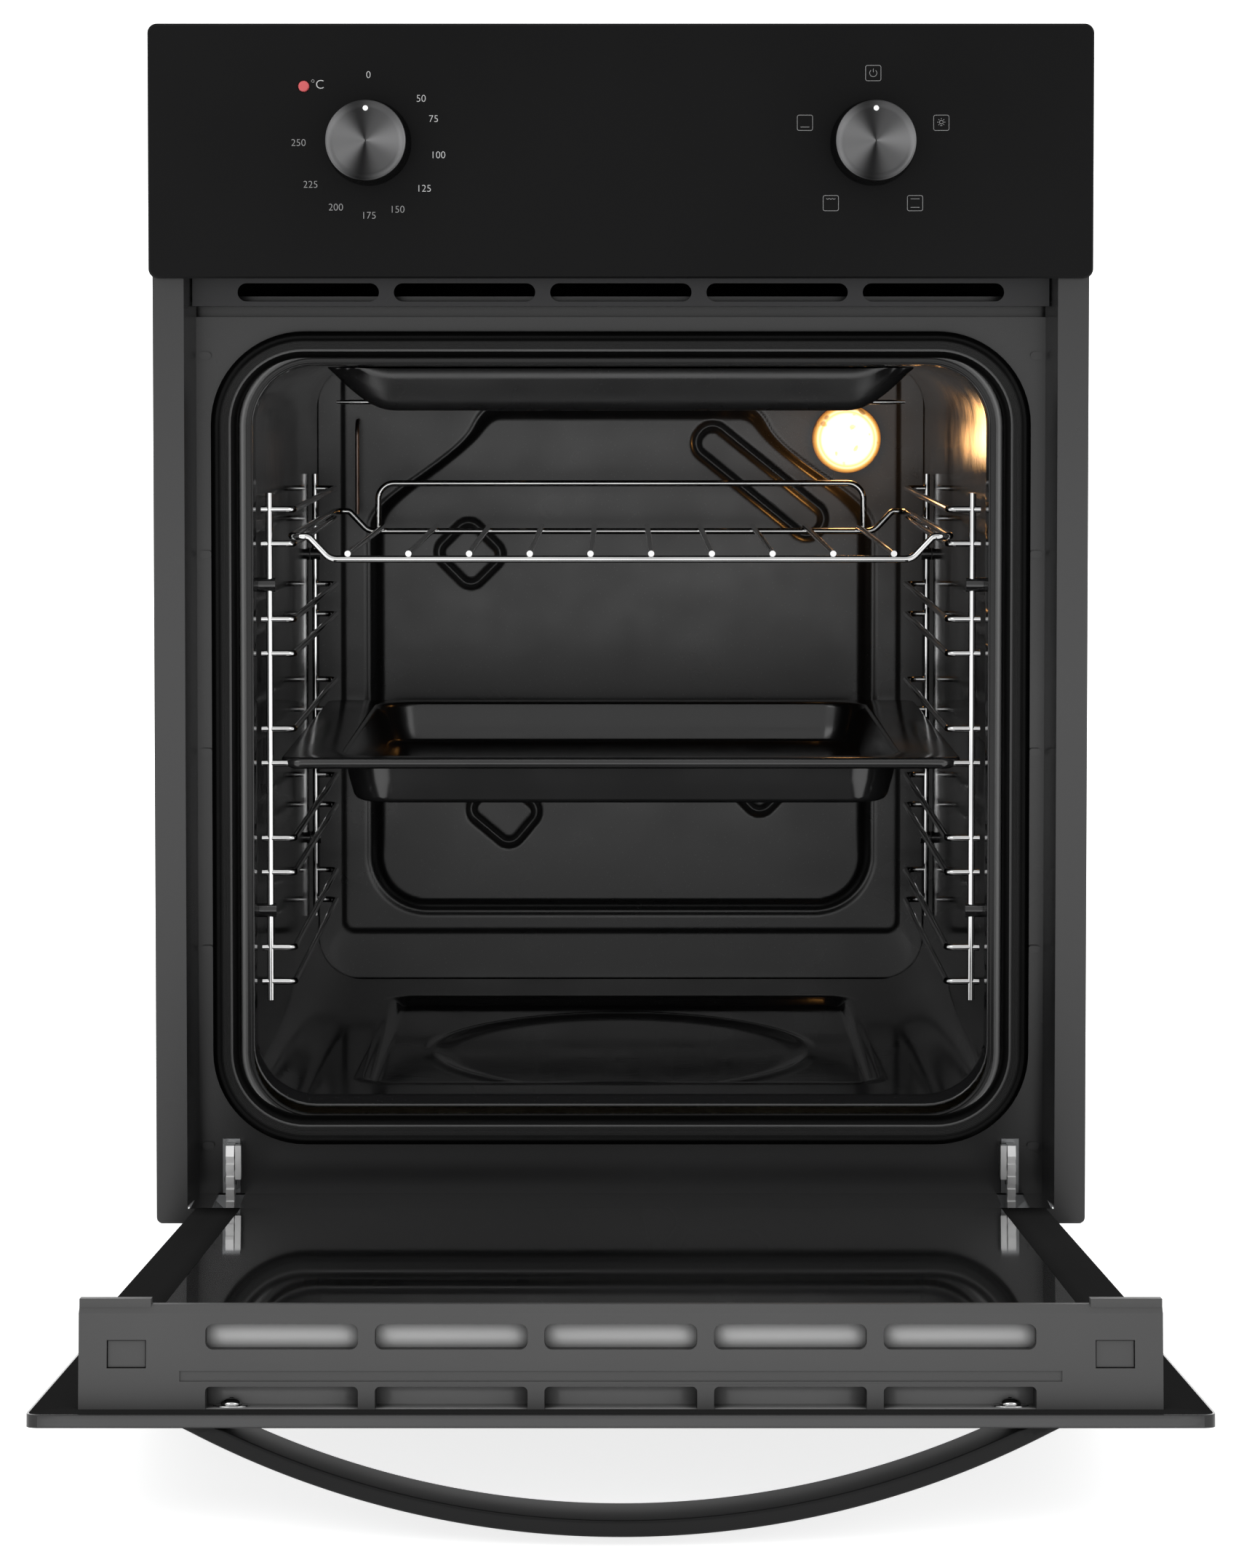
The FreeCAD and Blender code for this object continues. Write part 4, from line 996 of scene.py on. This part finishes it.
class OVEN_OT_print(bpy.types.Operator):
    """Print the temperature numbers and the function symbols on the panel"""
    bl_idname = "oven.print"
    bl_label = "Panel print"

    def execute(self, context):
        ink, faint = print_ink("bright_ink", 0.50), print_ink("faint_ink", 0.26)
        s = settings()
        cx, cz, _ = middle_of("thermostat_cap")
        marks = ((0, 0.0), (50, 48.5), (75, 68), (100, 98), (125, 128), (150, 156), (175, 180),
                 (200, 208), (225, 236), (250, 272))
        for value, degrees in marks:
            a = math.radians(degrees)
            radius = s.scale_radius
            x, z = cx + radius * math.sin(a), cz + radius * math.cos(a) - 0.0012
            shade = ink if degrees < 130 else faint
            flat_print(f"mark_{value}", str(value), s.digit_height * 1.4, x, z, shade)
        flat_print("celsius", "°C", 0.0060, cx - 0.0240, cz + 0.0272, ink)
        cx, cz, _ = middle_of("selector_cap")
        thin, half = 0.00011, 0.0036
        square = (True, rounded_square(half, 0.0009))
        wave = [(x * MM, 1.7 * MM + 0.45 * MM * abs(math.sin(x * 2.1))) for x in np.linspace(-2.2, 2.2, 25)]
        rays = [(False, [(1.3 * MM * math.cos(a), 0.3 * MM + 1.3 * MM * math.sin(a)),
                         (1.9 * MM * math.cos(a), 0.3 * MM + 1.9 * MM * math.sin(a))])
                for a in np.radians(np.arange(0, 360, 45)) if abs(a - math.radians(270)) > 0.1]
        signs = {
            "off": [(False, arc_points(1.7 * MM, 130, 410)), (False, [(0, 0.4 * MM), (0, 2.1 * MM)])],
            "lamp": [(True, arc_points(0.85 * MM, 0, 345, 0, 0.3 * MM)),
                     (False, [(-0.45 * MM, -1.3 * MM), (0.45 * MM, -1.3 * MM)])] + rays,
            "top_and_bottom": [(False, [(-2.1 * MM, 2.0 * MM), (2.1 * MM, 2.0 * MM)]),
                               (False, [(-2.1 * MM, -2.0 * MM), (2.1 * MM, -2.0 * MM)])],
            "grill": [(False, wave)],
            "bottom": [(False, [(-2.1 * MM, -2.0 * MM), (2.1 * MM, -2.0 * MM)])],
        }
        for k, (name, strokes) in enumerate(signs.items()):
            a = math.radians(72 * k)
            x, z = cx + 0.0337 * math.sin(a), cz + 0.0337 * math.cos(a) - 0.001
            flat_print("sign_" + name, [square] + strokes, thin, x, z, faint)
        return {"FINISHED"}


class OVEN_OT_handle(bpy.types.Operator):
    """Make the bow handle with softened edges"""
    bl_idname = "oven.handle"
    bl_label = "Handle"

    def execute(self, context):
        half, out, thick, wide, top = 0.164, 0.0405, 0.0063, 0.038, 0.475
        radius = (half ** 2 + out ** 2) / (2 * out)
        centre = FRONT + radius - out
        reach = math.asin(half / radius)
        angle = np.linspace(-reach, reach, 97)
        edge = 0.0012
        corner = np.linspace(0, math.pi / 2, 5)
        ring = []
        for k, (sx, sz) in enumerate(((1, 1), (-1, 1), (-1, -1), (1, -1))):
            a = corner + k * math.pi / 2
            ring.append(np.stack([sx * (thick / 2 - edge) + edge * np.cos(a),
                                  sz * (wide / 2 - edge) + edge * np.sin(a)], -1))
        ring = np.concatenate(ring)
        rad = (radius - thick / 2 + ring[:, 0])[None, :]
        ang = angle[:, None]
        x = rad * np.sin(ang)
        y = np.minimum(centre - rad * np.cos(ang), FRONT)
        z = (top - wide / 2 + ring[:, 1])[None, :] + 0 * x
        points = open_door(np.stack([x, y, z], -1))
        rows, count = x.shape
        uv = np.stack(np.broadcast_arrays(ang * radius, np.linspace(0, 1, count)[None, :]), -1)
        faces = grid_faces(rows, count, False, True)
        piece = make_mesh("bow_handle", points, faces, uv)
        with mesh_edit(piece) as work:
            bmesh.ops.holes_fill(work, edges=work.edges, sides=count)
            bmesh.ops.remove_doubles(work, verts=work.verts, dist=1e-6)
            bmesh.ops.recalc_face_normals(work, faces=work.faces)
        finish_piece(piece, material_for("handle_metal"), "door", ["door_handle"])
        return {"FINISHED"}


class OVEN_OT_window_backs(bpy.types.Operator):
    """Set the pale glass that shows behind the windows of the door's end cap, the upper row painted lighter than
    the lower as painted light from above
    """
    bl_idname = "oven.window_backs"
    bl_label = "Window backs"

    def execute(self, context):
        pitch, half, top = 0.0638, 0.0286, 0.463
        # the levels are painted light: the upper row at 0.27 is the lit copy, the lower at 0.15 the shaded copy
        rows = (("upper", 0.27, ((0.0368, 0.0049), (0.0322, 0.0049), (0.0276, 0.0049))),
                ("lower", 0.15, ((0.0134, 0.0119), (0.0094, 0.0119), (0.0055, 0.0119), (0.0052, 0.0116),
                                 (0.0052, 0.0060), (0.0052, 0.0006))))
        for row, level, profile in rows:
            pale = satin_black(f"{row}_window_painted_light", grey(level), 0.3, 40.0, 0.00001)
            depth, below = np.array(profile).T
            for n in range(-2, 3):
                x = np.linspace(n * pitch - half, n * pitch + half, 9)
                gx, gy = np.meshgrid(x, depth + FRONT, indexing="ij")
                points = open_door(np.stack([gx, gy, top - below + 0 * gx], -1))
                piece = make_mesh(f"{row}_window_{n + 3}", points, grid_faces(9, len(profile)), smooth=False)
                thicken(piece, 0.0002, 0.0)
                finish_piece(piece, pale, "door")
        return {"FINISHED"}


def place_object(name, data, location, turn):
    """Object put into the scene at a place and a turn."""
    thing = bpy.data.objects.new(name, data)
    thing.location = location
    thing.rotation_euler = turn
    bpy.context.scene.collection.objects.link(thing)
    return thing


def turned_piece(name, centre, profile, direction, sides=64):
    """Closed turned solid: (radius, height) pairs spun round an axis through centre.

    The axis points along direction; V of the UV map is the radius over the largest radius.
    """
    profile = np.asarray(profile, float)
    way = np.asarray(direction, float) / np.linalg.norm(direction)
    side = np.cross(way, (1, 0, 0)) if abs(way[0]) < 0.9 else np.cross(way, (0, 0, 1))
    side /= np.linalg.norm(side)
    other = np.cross(way, side)
    angle = np.linspace(0, 2 * math.pi, sides, endpoint=False)
    ring = np.cos(angle)[:, None] * side + np.sin(angle)[:, None] * other
    radius, height = profile[:, 0], profile[:, 1]
    points = (np.asarray(centre, float) + ring[:, None, :] * radius[None, :, None]
              + height[None, :, None] * way)
    uv = np.stack(np.broadcast_arrays(angle[:, None] / (2 * math.pi), radius[None, :] / radius.max()), -1)
    piece = make_mesh(name, points, grid_faces(sides, len(profile), True, False), uv)
    with mesh_edit(piece) as work:
        bmesh.ops.holes_fill(work, edges=[e for e in work.edges if e.is_boundary], sides=sides)
        bmesh.ops.recalc_face_normals(work, faces=work.faces)
    return piece


def lit_lens():
    """Lamp glass from inside: a white-hot middle, an amber line near its edge and amber flecks."""
    material = new_material("lit_lens", Roughness=0.2, Base_Color=(0.9, 0.7, 0.4, 1))
    _, parts = uv_parts(material)
    stops = ((0.0, (1.9, 1.7, 1.35)), (0.72, (1.7, 1.4, 1.0)), (0.80, (1.25, 0.72, 0.22)),
             (0.84, (1.6, 1.2, 0.7)), (0.91, (1.0, 0.45, 0.08)), (1.0, (0.25, 0.07, 0.01)))
    colour_stops(material, parts, "Y", stops, "Emission Color")
    flecks = noise_on(material, 150.0, 1.0)
    vary(material, flecks, "Fac", "Emission Strength", 0.25, 1.0, 0.30, 0.36)
    return material


class OVEN_OT_lamp(bpy.types.Operator):
    """Make the lit lamp glass with its ring, and its light"""
    bl_idname = "oven.lamp"
    bl_label = "Cavity lamp"

    def execute(self, context):
        s = settings()
        cx, cz, radius = middle_of("lamp_cover")
        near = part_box("lamp_cover")[0].y
        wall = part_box("cavity_back")[1].y - 0.0012
        depth = wall - near
        bend = np.radians(np.linspace(0, 90, 8))
        edge = 7.5 * MM
        dome = np.stack([radius - edge + edge * np.cos(bend), depth - edge + edge * np.sin(bend)], -1)
        face = [(r * radius, depth + 0.25 * MM * math.cos(r * 40)) for r in np.linspace(0.58, 0.02, 18)]
        profile = np.concatenate([[(radius * 0.8, 0.0), (radius, 0.0)], dome, face])
        lens = turned_piece("lamp_lens", (cx, wall, cz), profile, (0, -1, 0), 72)
        finish_piece(lens, lit_lens(), "oven", ["lamp_cover"])
        NODES["lamp_bulb"].data.materials[0] = glowing("lamp_filament", (1.0, 0.80, 0.5), 8.0)
        light = bpy.data.lights.new("lamp_light", "POINT")
        light.color = tuple(s.lamp_colour)
        light.energy = s.lamp_power
        light.shadow_soft_size = 0.010
        place_object("lamp_light", light, (cx, near - 0.016, cz), (0, 0, 0))
        return {"FINISHED"}


class OVEN_OT_screws(bpy.types.Operator):
    """Make the handle's truss-head screws and their oval washers"""
    bl_idname = "oven.screws"
    bl_label = "Handle screws"

    def execute(self, context):
        up = open_door(HINGE + np.array([0.0, 1.0, 0.0])) - HINGE
        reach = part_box("handle_screws")[1].x - 0.0046
        steel = material_for("chrome")
        for side in (-1, 1):
            place = open_door(np.array([side * reach, DOOR_INSIDE, 0.456]))
            dome = [(4.0, 0.9), (4.1, 1.3)] + [(4.1 * math.cos(a), 1.3 + 2.3 * math.sin(a))
                                              for a in np.radians(np.linspace(8, 76, 9))]
            dome += [(0.9, 3.1), (0.5, 3.0)]
            head = turned_piece(f"screw_head_{side + 1}", place, np.array(dome) * MM, up, 40)
            ring = [(2.2, 0.1), (2.2, 0.7), (2.6, 0.95), (4.6, 0.95), (4.9, 0.7), (4.9, 0.1)]
            washer = turned_piece(f"screw_washer_{side + 1}", place, np.array(ring) * MM, up, 40)
            co = read_points(washer.data)
            co[:, 0] = place[0] + (co[:, 0] - place[0]) * 1.42
            washer.data.vertices.foreach_set("co", co.ravel())
            finish_piece(head, steel, "door", ["handle_screws"])
            finish_piece(washer, steel, "door", ["handle_washers"])
        return {"FINISHED"}


class OVEN_OT_door_paint(bpy.types.Operator):
    """Lay the door's matt black print: inside its outer panel and beside its inner glass"""
    bl_idname = "oven.door_paint"
    bl_label = "Door print"

    def execute(self, context):
        half, low_z, high_z, radius = 0.2216, 0.0064, 0.4741, 0.0045
        loop, _ = rounded_loop(half, (high_z - low_z) / 2, radius, 8, 12)
        middle = (low_z + high_z) / 2
        scale = np.array([1.0, 0.8, 0.5, 0.25, 0.02])
        rings = loop[None, :, :] * scale[:, None, None]
        points = np.stack([rings[..., 0], np.full(rings.shape[:2], -0.29492), rings[..., 1] + middle], -1)
        piece = make_mesh("door_print", open_door(points), grid_faces(len(scale), len(loop), False, True))
        with mesh_edit(piece) as work:
            centre = [e for e in work.edges if e.is_boundary and max(abs(v.co.x) for v in e.verts) < 0.01]
            bmesh.ops.contextual_create(work, geom=centre)
            bmesh.ops.recalc_face_normals(work, faces=work.faces)
            largest_face_up(work)
        thicken(piece, 0.00006, 0.0)
        paint = satin_black("door_print_black", grey(0.012), 0.6, 900.0, 0.00001, 0.0)
        finish_piece(piece, paint, "door")

        z = np.linspace(0.0383, 0.4488, 12)
        wrap = np.array([(0.1800, 34.07), (0.1870, 34.07), (0.1940, 34.07), (0.20095, 34.07),
                         (0.20107, 33.9), (0.20107, 30.2)])
        gz, across = np.meshgrid(z, wrap[:, 0], indexing="ij")
        depth = np.broadcast_to(wrap[:, 1] * MM + FRONT, gz.shape)
        for side, name in ((-1, "left"), (1, "right")):
            points = open_door(np.stack([side * across, depth, gz], -1))
            faces = grid_faces(*gz.shape)[:, ::side]
            strip = make_mesh(f"glass_margin_{name}", points, faces, smooth=False)
            thicken(strip, 0.00006, 0.0)
            finish_piece(strip, paint, "door")

        x = np.linspace(-0.2178, 0.2178, 40)
        gx, gy = np.meshgrid(x, np.linspace(0.0004, 0.0046, 4) + FRONT, indexing="ij")
        rim = open_door(np.stack([gx, gy, np.full_like(gx, 0.47506)], -1))
        edge = make_mesh("door_glass_edge", rim, grid_faces(*gx.shape))
        thicken(edge, 0.0001, 0.0)
        ground = satin_black("ground_edge", (0.045, 0.045, 0.0455), 0.4, 1200.0, 0.00001, 0.2)
        finish_piece(edge, ground, "door")
        return {"FINISHED"}


class OVEN_OT_air_duct(bpy.types.Operator):
    """Make the sheet duct that leads from the blower to the vent strip; its near-black finish is painted shade
    seen through the vent slots
    """
    bl_idname = "oven.air_duct"
    bl_label = "Air duct"

    def execute(self, context):
        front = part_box("vent_strip")[0].y + 0.0022
        low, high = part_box("fan_housing")
        back = low.y - 0.002
        t = np.linspace(0, 1, 25)[:, None]
        ease = smoothstep(0.0, 1.0, t)
        half = 0.2015 * (1 - ease) + (high.x - 0.006) * ease
        bottom = 0.4690 * (1 - ease) + 0.4860 * ease
        top = 0.4880 * (1 - ease) + 0.5190 * ease
        u = np.linspace(-1, 1, 21)[None, :]
        x = np.concatenate([u * half, half + 0 * u, -u * half, -half + 0 * u], 1)
        z = np.concatenate([bottom + 0 * u, bottom + (u + 1) / 2 * (top - bottom), top + 0 * u,
                            top - (u + 1) / 2 * (top - bottom)], 1)
        y = (front + (back - front) * t) + 0 * x
        faces = grid_faces(len(t), x.shape[1], False, True)[:, ::-1]
        piece = make_mesh("air_duct", np.stack([x, y, z], -1), faces)
        thicken(piece, 0.0006)
        # near black: painted shade for the dark seen through the vent slots
        finish_piece(piece, satin_black("duct_painted_shade", grey(0.006), 0.5), "oven")
        return {"FINISHED"}


class OVEN_OT_stage(bpy.types.Operator):
    """Set up the floor, the studio light and the camera"""
    bl_idname = "oven.stage"
    bl_label = "Studio"

    def execute(self, context):
        s = settings()
        pale = new_material("studio_floor", Roughness=0.9, Specular_IOR_Level=0.0, Emission_Strength=0.98,
                            Base_Color=(*s.backdrop, 1), Emission_Color=(*s.backdrop, 1))
        n = 49
        side = np.linspace(-4, 4, n)
        run = np.concatenate([np.linspace(-4, 2.5, 30), np.linspace(2.6, 4.2, n - 30)])
        gx, gy = np.meshgrid(side, run, indexing="ij")
        bend = np.clip((gy - 2.5) / 1.7, 0, 1)
        gz = 3.2 * (1 - np.sqrt(np.maximum(1 - bend ** 2, 0))) - 0.0006
        floor = make_mesh("studio_floor", np.stack([gx, gy, gz], -1), grid_faces(n, len(run)))
        floor.data.materials.append(pale)

        world = bpy.data.worlds.new("studio_world")
        world.use_nodes = True
        world.node_tree.nodes["Background"].inputs["Color"].default_value = (1, 1, 1, 1)
        world.node_tree.nodes["Background"].inputs["Strength"].default_value = 1.0
        bpy.context.scene.world = world

        softboxes = (
            ("key", (-1.5, -2.6, 1.9), (0, -0.2, 0.3), 1.6, 1.2, 14.0),
            ("fill", (1.7, -2.4, 1.3), (0, -0.2, 0.3), 1.2, 1.6, 8.0),
            ("top", (0, -0.6, 2.6), (0, -0.5, 0.0), 1.4, 1.0, 8.0),
            ("low", (0, -3.0, 0.22), (0, 0, 0.25), 3.4, 0.42, 4.5),
        )
        for name, place, aim, wide, tall, watts in softboxes:
            light = bpy.data.lights.new(name + "_softbox", "AREA")
            light.shape = "RECTANGLE"
            light.size, light.size_y, light.energy = wide, tall, watts
            way = Vector(np.array(aim) - np.array(place))
            place_object(name + "_softbox", light, place, way.to_track_quat("-Z", "Y").to_euler())

        camera = bpy.data.cameras.new("front_camera")
        camera.sensor_width = 36.0
        camera.lens = 100.27
        camera.shift_x, camera.shift_y = 0.0033, -0.1575
        eye = place_object("front_camera", camera, (0, -2.360, 0.4474), (math.radians(87.5), 0, 0))
        bpy.context.scene.camera = eye
        bpy.context.scene.view_settings.view_transform = "Standard"
        return {"FINISHED"}


OPERATORS = (OVEN_OT_finishes, OVEN_OT_back_wall, OVEN_OT_liner, OVEN_OT_seal, OVEN_OT_mouth_lip,
             OVEN_OT_tray, OVEN_OT_shield, OVEN_OT_knob_faces, OVEN_OT_print, OVEN_OT_handle,
             OVEN_OT_window_backs, OVEN_OT_lamp, OVEN_OT_screws, OVEN_OT_door_paint, OVEN_OT_air_duct,
             OVEN_OT_stage)


class OVEN_PT_panel(bpy.types.Panel):
    """Buttons for each piece and the settings"""
    bl_idname = "OVEN_PT_panel"
    bl_label = "Oven"
    bl_space_type = "VIEW_3D"
    bl_region_type = "UI"
    bl_category = "Oven"

    def draw(self, context):
        for name in OvenSettings.__annotations__:
            self.layout.prop(context.scene.oven_settings, name)
        for operator in OPERATORS:
            self.layout.operator(operator.bl_idname)


CLASSES = (OvenSettings, *OPERATORS, OVEN_PT_panel)


def register():
    """Registers the classes and the settings."""
    for cls in CLASSES:
        bpy.utils.register_class(cls)
    bpy.types.Scene.oven_settings = PointerProperty(type=OvenSettings)


def unregister():
    """Takes them back."""
    del bpy.types.Scene.oven_settings
    for cls in reversed(CLASSES):
        bpy.utils.unregister_class(cls)


def main():
    """Builds everything."""
    register()
    for operator in OPERATORS:
        group, name = operator.bl_idname.split(".")
        getattr(getattr(bpy.ops, group), name)()


if __name__ == "__main__":
    main()
